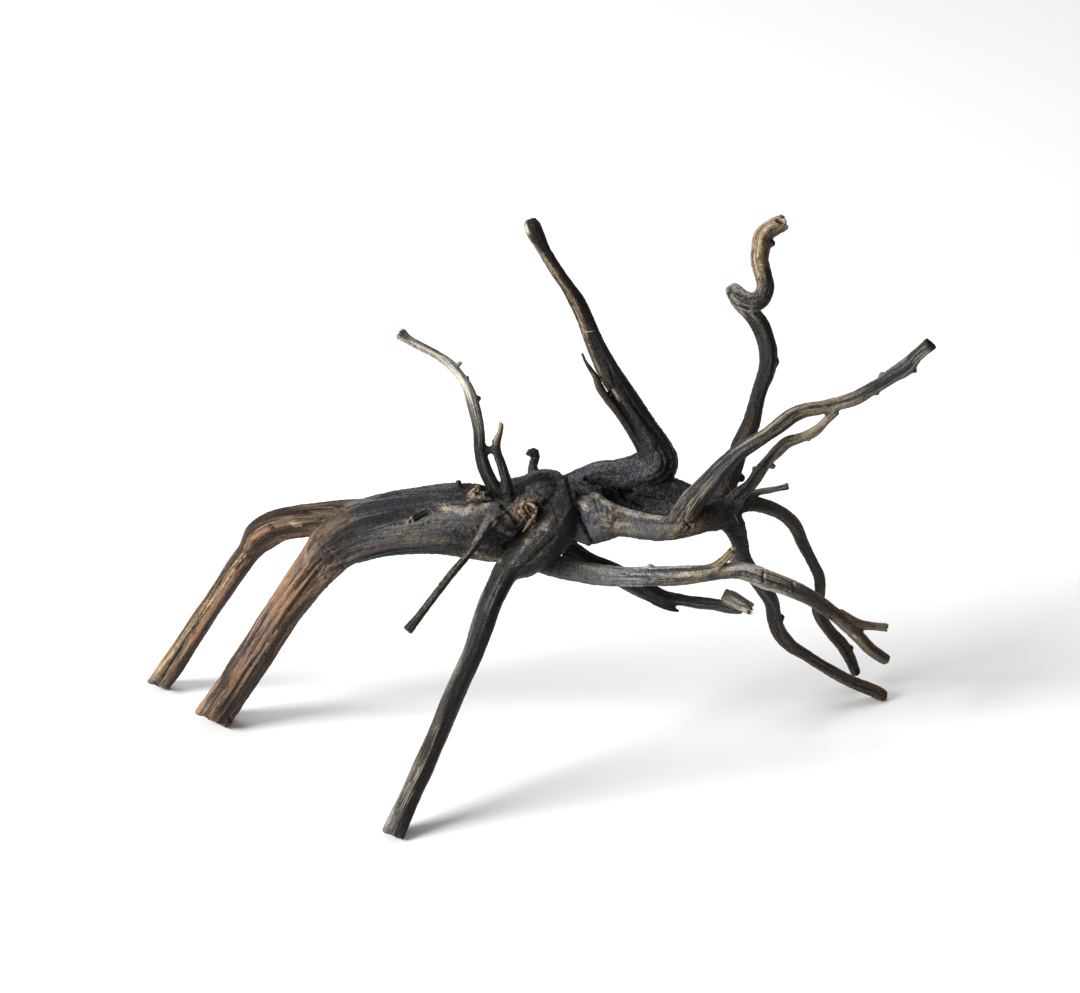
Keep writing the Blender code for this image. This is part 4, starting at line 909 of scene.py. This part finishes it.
def paintWood(wood, grain):
    # lays the tones, the painted shade of hollows, the relief and the grain's directions on the wood, where
    # its material reads them
    mesh = wood.data
    points, normals = readPoints(mesh)
    first, second, share = nearestLimbs(grain, points)
    colours, dryness = woodTones(grain, points, normals, first, second, share)
    opaque = np.ones((len(points), 1))
    relief = woodRelief(grain, points, normals, first, second, share)
    span = woodWork["reliefSpan"]
    layAttribute(mesh, "deepColour", "FLOAT_COLOR", "POINT", np.hstack([colours[:, :3], opaque]))
    layAttribute(mesh, "dryColour", "FLOAT_COLOR", "POINT", np.hstack([colours[:, 3:], opaque]))
    layAttribute(mesh, "dryness", "FLOAT", "POINT", dryness)
    layAttribute(mesh, "relief", "FLOAT", "POINT", smoothStep(-span, span, relief))
    layAttribute(mesh, "grit", "FLOAT", "POINT", grittiness(grain, points, first))
    # the deeper a point lies in a hollow, the more painted shade it gets
    hollowShade = smoothStep(*woodWork["hollowShade"], hollowDepth(mesh, points, normals))
    layAttribute(mesh, "hollowShade", "FLOAT", "POINT", hollowShade)
    # each face reads one limb's grain at all its corners, and the next limb's, into which it passes
    corners = np.empty(len(mesh.loops), np.int32)
    mesh.loops.foreach_get("vertex_index", corners)
    sizes = np.empty(len(mesh.polygons), np.int32)
    mesh.polygons.foreach_get("loop_total", sizes)
    leader = np.repeat(corners[np.concatenate([[0], np.cumsum(sizes)[:-1]])], sizes)
    near, after = first[leader], second[leader]
    blend = share[corners].copy()
    blend[(first[corners] == after) & (second[corners] == near)] *= -1
    blend[blend < 0] += 1
    for title, limb in (("grainNear", near), ("grainNext", after)):
        spot = straighten(grain, points[corners], limb)[0]
        spot[:, 2] += limb * woodWork["limbShift"]
        layAttribute(mesh, title, "FLOAT_VECTOR", "CORNER", spot)
    layAttribute(mesh, "grainShare", "FLOAT", "CORNER", blend)
    return points, first


def finishEnds(wood, grain, points, first):
    # gives the faces of sawn ends their own material
    ends = np.zeros(len(points), bool)
    for name, cut in sawCuts.items():
        point, normal = cutPlane(cut)
        gap = np.abs((points - np.array(point)) @ np.array(normal))
        ends |= (first == grain["names"].index(name)) & (gap < woodWork["sawnDepth"])
    for face in wood.data.polygons:
        face.material_index = int(all(ends[corner] for corner in face.vertices))


# The wood's finish. Scales are per mm of the straightened grain, or per metre where they follow the object
woodFinish = {
    # scale across and along the grain, detail, and where the pattern lies
    "bands": (0.16, 0.010, 1.0, (43, 17, 0)),
    "streaks": (0.5, 0.011, 3.0, (0, 0, 0)),
    "fibres": (1.6, 0.045, 2.0, (7, 3, 0)),
    "fissures": (0.95, 0.022, 1.0, (19, 5, 0)),
    "fissured": (0.16, 0.03, 1.0, (31, 11, 0)),     # the places that have fissures
    "grainRoughness": 0.6,
    "bandRange": (0.3, 0.7),
    "fibreRange": (0.28, 0.72),
    "fissuredRange": (0.42, 0.62),
    "fissureWidth": 0.06,
    # scale per metre, detail and roughness of what follows the object
    "patches": (42.0, 3.0, 0.55),
    "blotches": (330.0, 3.0, 0.65),
    "specks": (1050.0, 2.0, 0.6),
    "tints": (28.0, 4.0, 0.6),
    "blotchRange": (0.32, 0.68),
    "speckRange": (0.3, 0.7),
    "tintRange": (0.38, 0.62),
    # what makes the wood pale: the weight of each value, and the middle that is first taken off it
    "linedLevel": {"streaks": (0.4, 0), "fibres": (0.55, 0), "bands": (0.45, 0.68)},
    "grittyLevel": {"blotches": (0.2, 0), "specks": (0.4, 0), "streaks": (0.15, 0)},
    "dryLevel": {"relief": (0.3, 0), "patches": (0.35, 0.5), "specks": (0.12, 0.5), "dryness": (0.9, 0.5)},
    "dryRange": (0.28, 0.84),
    "gritCover": 0.85,             # how far grit takes the place of the lines
    "gritFill": 0.6,               # how far grit fills the fissures
    "fissureDark": 0.9,
    # how dark the painted shade in hollows is
    "hollowShadeStrength": 0.88,
    "pitShare": 0.14,
    "pitDark": 0.65,
    # the near-black of fissures and pits, also used for the painted shade in hollows
    "grime": (0.006, 0.005, 0.005, 1.0),
    "coldTint": (0.86, 0.94, 1.06, 1.0),
    "warmTint": (1.12, 1.03, 0.90, 1.0),
    "deepRoughness": 0.52,
    "dryRoughness": 0.82,
    "specular": 0.22,
    "height": {"streaks": (0.35, 0), "fibres": (0.5, 0)},
    "speckHeight": (0.2, 0.8),     # how high specks are, and how much higher in grit
    "bump": (0.75, 0.0005),        # strength and depth in metres
    "rings": 2.1,                  # growth rings per mm
    "ringWobble": (0.35, 3.0, 0.6, 3.0),    # scale, detail, roughness and strength
    "ringPale": 0.35,
    "endGrime": (1.6, 4.0, 0.7),
    "endRange": (0.35, 0.75),
    "endDark": (0.030, 0.024, 0.020, 1.0),
    "endPale": (0.235, 0.185, 0.135, 1.0),
    "endBump": (0.5, 0.0002),
    "tornMottle": (560.0, 4.0, 0.7),
    "tornRange": (0.35, 0.62),
    "tornDark": (0.050, 0.030, 0.018, 1.0),
    "tornPale": (0.330, 0.242, 0.160, 1.0),
    "tornBump": (0.4, 0.0002),
}


def addNode(tree, kind, **settings):
    # a node with its settings
    node = tree.nodes.new(kind)
    for title, value in settings.items():
        setattr(node, title, value)
    return node


def feed(tree, node, **sources):
    # links or sets inputs: baseColor stands for "Base Color", and i0 for the first input
    for title, source in sources.items():
        spaced = "".join(" " + letter if letter.isupper() else letter for letter in title).title()
        socket = node.inputs[int(title[1:])] if title[1:].isdigit() else node.inputs[spaced]
        if isinstance(source, bpy.types.NodeSocket):
            tree.links.new(source, socket)
        else:
            socket.default_value = source
    return node


def newGroup(name, inputs, outputs):
    group = bpy.data.node_groups.new(name, "ShaderNodeTree")
    for direction, sockets in (("INPUT", inputs), ("OUTPUT", outputs)):
        for title, kind in sockets:
            group.interface.new_socket(name=title, in_out=direction, socket_type="NodeSocket" + kind)
    return group, group.nodes.new("NodeGroupInput"), group.nodes.new("NodeGroupOutput")


def calculate(tree, operation, first, second=0.0, clamp=False):
    node = addNode(tree, "ShaderNodeMath", operation=operation, use_clamp=clamp)
    return feed(tree, node, i0=first, i1=second).outputs[0]


def plus(tree, first, second):
    return calculate(tree, "ADD", first, second)


def minus(tree, first, second):
    return calculate(tree, "SUBTRACT", first, second)


def times(tree, first, second):
    return calculate(tree, "MULTIPLY", first, second)


def addUp(tree, values, weights, total=None):
    # the sum of values, each less its middle and times its weight
    for title, (weight, middle) in weights.items():
        value = minus(tree, values[title], middle) if middle else values[title]
        value = times(tree, value, weight)
        total = plus(tree, total, value) if total else value
    return total


def ramp(tree, value, low, high):
    # smoothly from 0 at low to 1 at high
    node = addNode(tree, "ShaderNodeMapRange", interpolation_type="SMOOTHSTEP")
    return feed(tree, node, value=value, fromMin=low, fromMax=high).outputs["Result"]


def blendColour(tree, share, first, second, blendType="MIX"):
    node = addNode(tree, "ShaderNodeMix", data_type="RGBA", blend_type=blendType)
    return feed(tree, node, i0=share, i6=first, i7=second).outputs[2]


def blendNumber(tree, share, first, second):
    node = addNode(tree, "ShaderNodeMix", data_type="FLOAT")
    return feed(tree, node, i0=share, i2=first, i3=second).outputs[0]


def addNoise(tree, coordinates, scale, detail, roughness):
    node = tree.nodes.new("ShaderNodeTexNoise")
    return feed(tree, node, vector=coordinates, scale=scale, detail=detail, roughness=roughness).outputs[0]


def objectNoise(tree, title):
    coordinates = tree.nodes.new("ShaderNodeTexCoord")
    return addNoise(tree, coordinates.outputs["Object"], *woodFinish[title])


def makeWoodGrain():
    # one limb's grain, from its straightened coordinates: bands, streaks, fine fibres and thin fissures
    titles = ("Bands", "Streaks", "Fibres", "Fissures")
    outputs = [(title, "Float") for title in titles]
    group, given, wanted = newGroup("woodGrain", [("Grain", "Vector")], outputs)

    def stretchedNoise(title):
        across, along, detail, offset = woodFinish[title]
        mapping = addNode(group, "ShaderNodeMapping")
        feed(group, mapping, vector=given.outputs["Grain"], scale=(across, across, along), location=offset)
        return addNoise(group, mapping.outputs[0], 1.0, detail, woodFinish["grainRoughness"])

    off = calculate(group, "ABSOLUTE", minus(group, stretchedNoise("fissures"), 0.5))
    line = minus(group, 1.0, ramp(group, off, 0.0, woodFinish["fissureWidth"]))
    where = ramp(group, stretchedNoise("fissured"), *woodFinish["fissuredRange"])
    results = (
        ramp(group, stretchedNoise("bands"), *woodFinish["bandRange"]),
        ramp(group, stretchedNoise("streaks"), *woodFinish["bandRange"]),
        ramp(group, stretchedNoise("fibres"), *woodFinish["fibreRange"]),
        times(group, line, where),
    )
    for title, result in zip(titles, results):
        group.links.new(result, wanted.inputs[title])
    return group


def readAttribute(tree, title, output="Fac"):
    node = addNode(tree, "ShaderNodeAttribute", attribute_type="GEOMETRY", attribute_name=title)
    return node.outputs[output]


def placeGrain(tree, group, title):
    # the grain group, on one limb's straightened coordinates
    node = addNode(tree, "ShaderNodeGroup", node_tree=group)
    return feed(tree, node, grain=readAttribute(tree, title, "Vector")).outputs


def newMaterial(name):
    material = bpy.data.materials.new(name)
    material.use_nodes = True
    shader = material.node_tree.nodes["Principled BSDF"]
    shader.inputs["Specular IOR Level"].default_value = woodFinish["specular"]
    return material, material.node_tree, shader


def addBump(tree, shader, height, strength, depth):
    bump = feed(tree, tree.nodes.new("ShaderNodeBump"), strength=strength, distance=depth, height=height)
    tree.links.new(bump.outputs["Normal"], shader.inputs["Normal"])


def makeWeatheredWood(grainGroup):
    # dark wood worn by water: each limb's tones, drier on the ridges, dark in the fissures and pits, with
    # painted shade in the hollows
    material, tree, shader = newMaterial("weatheredWood")
    near, after = placeGrain(tree, grainGroup, "grainNear"), placeGrain(tree, grainGroup, "grainNext")
    share = readAttribute(tree, "grainShare")
    values = {
        title.lower(): blendNumber(tree, share, after[title], near[title])
        for title in ("Bands", "Streaks", "Fibres", "Fissures")
    }
    for title in ("relief", "dryness"):
        values[title] = readAttribute(tree, title)
    values["patches"] = objectNoise(tree, "patches")
    values["blotches"] = ramp(tree, objectNoise(tree, "blotches"), *woodFinish["blotchRange"])
    specks = values["specks"] = ramp(tree, objectNoise(tree, "specks"), *woodFinish["speckRange"])
    grit = readAttribute(tree, "grit")
    level = blendNumber(
        tree, times(tree, grit, woodFinish["gritCover"]),
        addUp(tree, values, woodFinish["linedLevel"]), addUp(tree, values, woodFinish["grittyLevel"]),
    )
    dry = ramp(tree, addUp(tree, values, woodFinish["dryLevel"], level), *woodFinish["dryRange"])
    deepColour, dryColour = (readAttribute(tree, title, "Color") for title in ("deepColour", "dryColour"))
    colour = blendColour(tree, dry, deepColour, dryColour)
    warm = ramp(tree, objectNoise(tree, "tints"), *woodFinish["tintRange"])
    tint = blendColour(tree, warm, woodFinish["coldTint"], woodFinish["warmTint"])
    colour = blendColour(tree, 1.0, colour, tint, "MULTIPLY")
    # what is dark: fissures, which grit fills, the painted shade in hollows, and the pits in grit
    ungritted = minus(tree, 1.0, times(tree, grit, woodFinish["gritFill"]))
    fissures = times(tree, values["fissures"], ungritted)
    paintedHollowShade = times(tree, readAttribute(tree, "hollowShade"), woodFinish["hollowShadeStrength"])
    pits = minus(tree, 1.0, ramp(tree, specks, 0.0, woodFinish["pitShare"]))
    pits = times(tree, pits, times(tree, grit, woodFinish["pitDark"]))
    dark = calculate(tree, "MAXIMUM", times(tree, fissures, woodFinish["fissureDark"]), paintedHollowShade)
    dark = calculate(tree, "MAXIMUM", dark, pits)
    tree.links.new(blendColour(tree, dark, colour, woodFinish["grime"]), shader.inputs["Base Color"])
    roughness = blendNumber(tree, dry, woodFinish["deepRoughness"], woodFinish["dryRoughness"])
    tree.links.new(roughness, shader.inputs["Roughness"])
    low, higher = woodFinish["speckHeight"]
    height = times(tree, addUp(tree, values, woodFinish["height"]), ungritted)
    height = plus(tree, height, times(tree, specks, plus(tree, times(tree, grit, higher), low)))
    addBump(tree, shader, minus(tree, height, fissures), *woodFinish["bump"])
    return material


def makeSawnWood():
    # end grain: growth rings round the pith, with grime in them
    material, tree, shader = newMaterial("sawnWood")
    flatten = addNode(tree, "ShaderNodeVectorMath", operation="MULTIPLY")
    flat = feed(tree, flatten, i0=readAttribute(tree, "grainNear", "Vector"), i1=(1, 1, 0)).outputs[0]
    measure = addNode(tree, "ShaderNodeVectorMath", operation="LENGTH")
    out = feed(tree, measure, i0=flat).outputs["Value"]
    *wobbleNoise, wobble = woodFinish["ringWobble"]
    turns = plus(
        tree, times(tree, out, woodFinish["rings"]), times(tree, addNoise(tree, flat, *wobbleNoise), wobble)
    )
    wave = calculate(tree, "SINE", times(tree, turns, math.tau))
    ring = plus(tree, times(tree, wave, 0.5), 0.5)
    grime = addNoise(tree, flat, *woodFinish["endGrime"])
    ringed = times(tree, ring, woodFinish["ringPale"])
    shade = calculate(tree, "ADD", ringed, ramp(tree, grime, *woodFinish["endRange"]), clamp=True)
    colour = blendColour(tree, shade, woodFinish["endDark"], woodFinish["endPale"])
    tree.links.new(colour, shader.inputs["Base Color"])
    shader.inputs["Roughness"].default_value = woodFinish["dryRoughness"]
    addBump(tree, shader, plus(tree, ring, grime), *woodFinish["endBump"])
    return material


def makeTornWood():
    # fibres torn out of the inner wood, mottled brown
    material, tree, shader = newMaterial("tornWood")
    mottle = objectNoise(tree, "tornMottle")
    share = ramp(tree, mottle, *woodFinish["tornRange"])
    colour = blendColour(tree, share, woodFinish["tornDark"], woodFinish["tornPale"])
    tree.links.new(colour, shader.inputs["Base Color"])
    shader.inputs["Roughness"].default_value = woodFinish["dryRoughness"]
    addBump(tree, shader, mottle, *woodFinish["tornBump"])
    return material


# Splinters and fibres torn loose: single ones as points (across, up, back) with their radius at the root, and
# tufts at torn ends as (limb, how many, length, radius, how far they spread)
tornFibres = {
    "sides": 6,
    "step": 1.2,
    "seed": 7,
    "taper": (0.85, 1.5),       # how much of its radius a strand loses, and how late
    "root": 1.6,                # how deep a tuft is rooted
    "single": (
        (((96.0, -1.0, -2.0), (95.3, 2.0, -5.5), (93.6, 5.6, -7.5), (94.4, 8.2, -8.0)), 0.22),
        (((95.6, -7.2, -1.6), (98.0, -11.0, -5.0), (99.3, -14.5, -6.5)), 0.2),
        (((105.6, -37.4, 0.2), (110.5, -35.8, -2.0), (116.5, -38.4, -3.0)), 0.42),
        (((22.7, 82.5, -2.8), (24.6, 82.2, -4.6), (27.2, 83.0, -5.0)), 0.3),
        (((69.0, -11.0, -11.0), (66.0, -7.0, -15.5), (64.5, -6.5, -17.0)), 0.25),
        (((-10.2, -6.6, -18.6), (-8.2, -9.4, -20.0), (-5.0, -12.2, -18.8)), 1.7),
        (((-5.2, -12.0, -18.8), (-2.6, -8.8, -20.2), (-1.6, -5.4, -19.2)), 1.2),
        (((-1.6, -6.2, -19.2), (-4.6, -4.0, -20.0), (-8.4, -2.8, -18.8)), 1.1),
        (((-8.0, -2.4, -18.6), (-9.6, -5.2, -19.6), (-10.2, -8.0, -19.0)), 1.1),
        (((-8.0, -4.4, -18.4), (-6.6, -7.4, -18.9), (-4.4, -10.4, -18.6)), 1.0),
        (((-4.8, -11.4, -18.4), (-6.0, -14.2, -17.0), (-9.0, -17.8, -15.2)), 1.3),
        (((-3.4, -11.6, -18.0), (-2.6, -13.8, -16.4), (-3.4, -15.8, -15.0)), 1.1),
        (((-34.8, -0.6, -15.0), (-29.5, -0.2, -16.6), (-24.6, -1.6, -14.0)), 1.7),
        (((-36.0, 0.2, -14.0), (-33.6, 2.6, -15.6), (-31.0, 6.4, -14.0)), 1.5),
        (((-33.8, 0.2, -15.4), (-30.0, 2.0, -15.6), (-27.4, 2.0, -14.4)), 2.1),
        (((-31.6, -0.6, -17.0), (-31.4, 2.4, -17.0), (-31.0, 5.2, -15.2)), 0.8),
        (((-28.4, -0.8, -16.8), (-28.6, 1.6, -16.4), (-28.6, 3.4, -15.4)), 0.75),
        (((115.5, 136.4, 3.4), (118.6, 138.6, 2.8), (121.4, 139.7, 2.4)), 1.3),
        (((71.7, -13.2, -11.4), (75.0, -12.0, -13.5), (77.0, -9.5, -14.5)), 0.22),
    ),
    "tufts": (
        ("hook_root", 9, 1.9, 0.5, 0.2),
        ("broken_stub", 10, 1.8, 0.4, 0.25),
        ("torn_stub", 8, 3.4, 0.34, 0.3),
        ("short_twig", 6, 2.4, 0.22, 0.3),
        ("tall_root", 5, 1.6, 0.3, 0.3),
    ),
}


def growStrand(points, radius):
    # a thin closed strand that tapers to its tip
    spans = np.linalg.norm(np.diff(points, axis=0), axis=1)
    at = np.concatenate([[0.0], np.cumsum(spans)])
    steps = np.linspace(0, at[-1], max(4, round(at[-1] / tornFibres["step"])))
    route = np.stack([np.interp(steps, at, points[:, axis]) for axis in range(3)], axis=1)
    loss, late = tornFibres["taper"]
    taper = radius * (1 - loss * (steps / at[-1]) ** late) - woodWork["girthSpare"]
    return growLimb(np.hstack([route, taper[:, None]]), tornFibres["sides"])


def makeTornFibres(routes):
    strands = [
        (np.array([place(*point) for point in points]), radius) for points, radius in tornFibres["single"]
    ]
    chance = np.random.default_rng(tornFibres["seed"])
    root = tornFibres["root"]
    for name, count, length, radius, spread in tornFibres["tufts"]:
        tip = routes[name][-1]
        along, sides, others = (axes[-1] for axes in limbFrames(routes[name]))
        for turn in chance.uniform(0, math.tau, count):
            out = sides * math.cos(turn) + others * math.sin(turn)
            start = tip[:3] + out * tip[3] * chance.uniform(0.25, 0.8) - along * root
            lean = along + out * chance.uniform(-0.1, spread) + sides * chance.uniform(-spread, spread) * 0.5
            reach = length * chance.uniform(0.4, 1.0) + root
            middle = start + lean * reach * 0.5 + out * chance.uniform(-0.2, 0.3)
            thickness = radius * chance.uniform(0.6, 1.0)
            strands.append((np.array([start, middle, start + lean * reach]), thickness))
    fibres = bmesh.new()
    for points, radius in strands:
        addShape(fibres, growStrand(points, radius))
    piece = newPiece("torn_fibres", fibres)
    piece.data.shade_smooth()
    return piece


# Studio: a pale floor, a pale surround and soft lights; lengths in metres, powers in watts
studio = {
    "floorSize": 12.0,
    "floorColour": (0.93, 0.93, 0.93, 1.0),
    "floorRoughness": 0.9,
    "surround": 0.3,
    "keyPlace": (-2.5, -0.75, 1.6),
    "keySize": 1.3,
    "keyPower": 140.0,
    "rimPlace": (-0.3, 0.9, 2.6),
    "rimSize": 1.6,
    "rimPower": 28.0,
    "lens": 80.0,
    "sensor": 36.0,
    "aim": (-0.25, 0.0),        # what the middle of the picture shows, across and up in the drawing, in mm
}


def makeStudio():
    surface = bmesh.new()
    bmesh.ops.create_grid(surface, x_segments=1, y_segments=1, size=studio["floorSize"] / 2)
    floor = newPiece("studio_floor", surface)
    material, _, shader = newMaterial("paleFloor")
    shader.inputs["Base Color"].default_value = studio["floorColour"]
    shader.inputs["Roughness"].default_value = studio["floorRoughness"]
    floor.data.materials.append(material)
    world = bpy.data.worlds.new("studio")
    world.use_nodes = True
    world.node_tree.nodes["Background"].inputs["Color"].default_value = (1, 1, 1, 1)
    world.node_tree.nodes["Background"].inputs["Strength"].default_value = studio["surround"]
    bpy.context.scene.world = world
    bpy.context.scene.view_settings.view_transform = "Standard"
    middle = (cadBounds[0] + cadBounds[1]) / 2
    for name in ("key", "rim"):
        light = bpy.data.lights.new(name, "AREA")
        light.shape = "DISK"
        light.size = studio[name + "Size"]
        light.energy = studio[name + "Power"]
        lamp = bpy.data.objects.new(name, light)
        lamp.location = studio[name + "Place"]
        lamp.rotation_euler = (middle - lamp.location).to_track_quat("-Z", "Y").to_euler()
        bpy.context.scene.collection.objects.link(lamp)


def makeCamera():
    # where the drawing is seen from
    lens = bpy.data.cameras.new("camera")
    lens.lens = studio["lens"]
    lens.sensor_width = studio["sensor"]
    lens.clip_start = 0.01
    camera = bpy.data.objects.new("camera", lens)
    eye = place(*studio["aim"], 0) + (eyePlace() - place(0, 0, 0))
    camera.location = eye * mm
    tilt = math.radians(drawing["eyeElevation"])
    camera.rotation_euler = (math.pi / 2 - tilt, 0, 0)
    bpy.context.scene.collection.objects.link(camera)
    bpy.context.scene.camera = camera


def main():
    routes = {name: smoothRoute(stations) for name, stations in limbs.items()}
    grain = readGrain(routes)
    wood = growWood(routes)
    print("limbs grown together:", len(wood.data.polygons), "faces")
    weatherWood(wood, grain)
    thinOut(wood)
    print("weathered and thinned:", len(wood.data.polygons), "faces")
    points, first = paintWood(wood, grain)
    finishEnds(wood, grain, points, first)
    wood.data.materials.append(makeWeatheredWood(makeWoodGrain()))
    wood.data.materials.append(makeSawnWood())
    wood.data.shade_smooth()
    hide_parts("driftwood_root")
    print("wood painted")
    fibres = makeTornFibres(routes)
    fibres.data.materials.append(makeTornWood())
    print("torn fibres:", len(fibres.data.polygons), "faces")
    for piece in (wood, fibres):
        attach(piece, "root")
    makeStudio()
    makeCamera()
    print("studio set")


main()
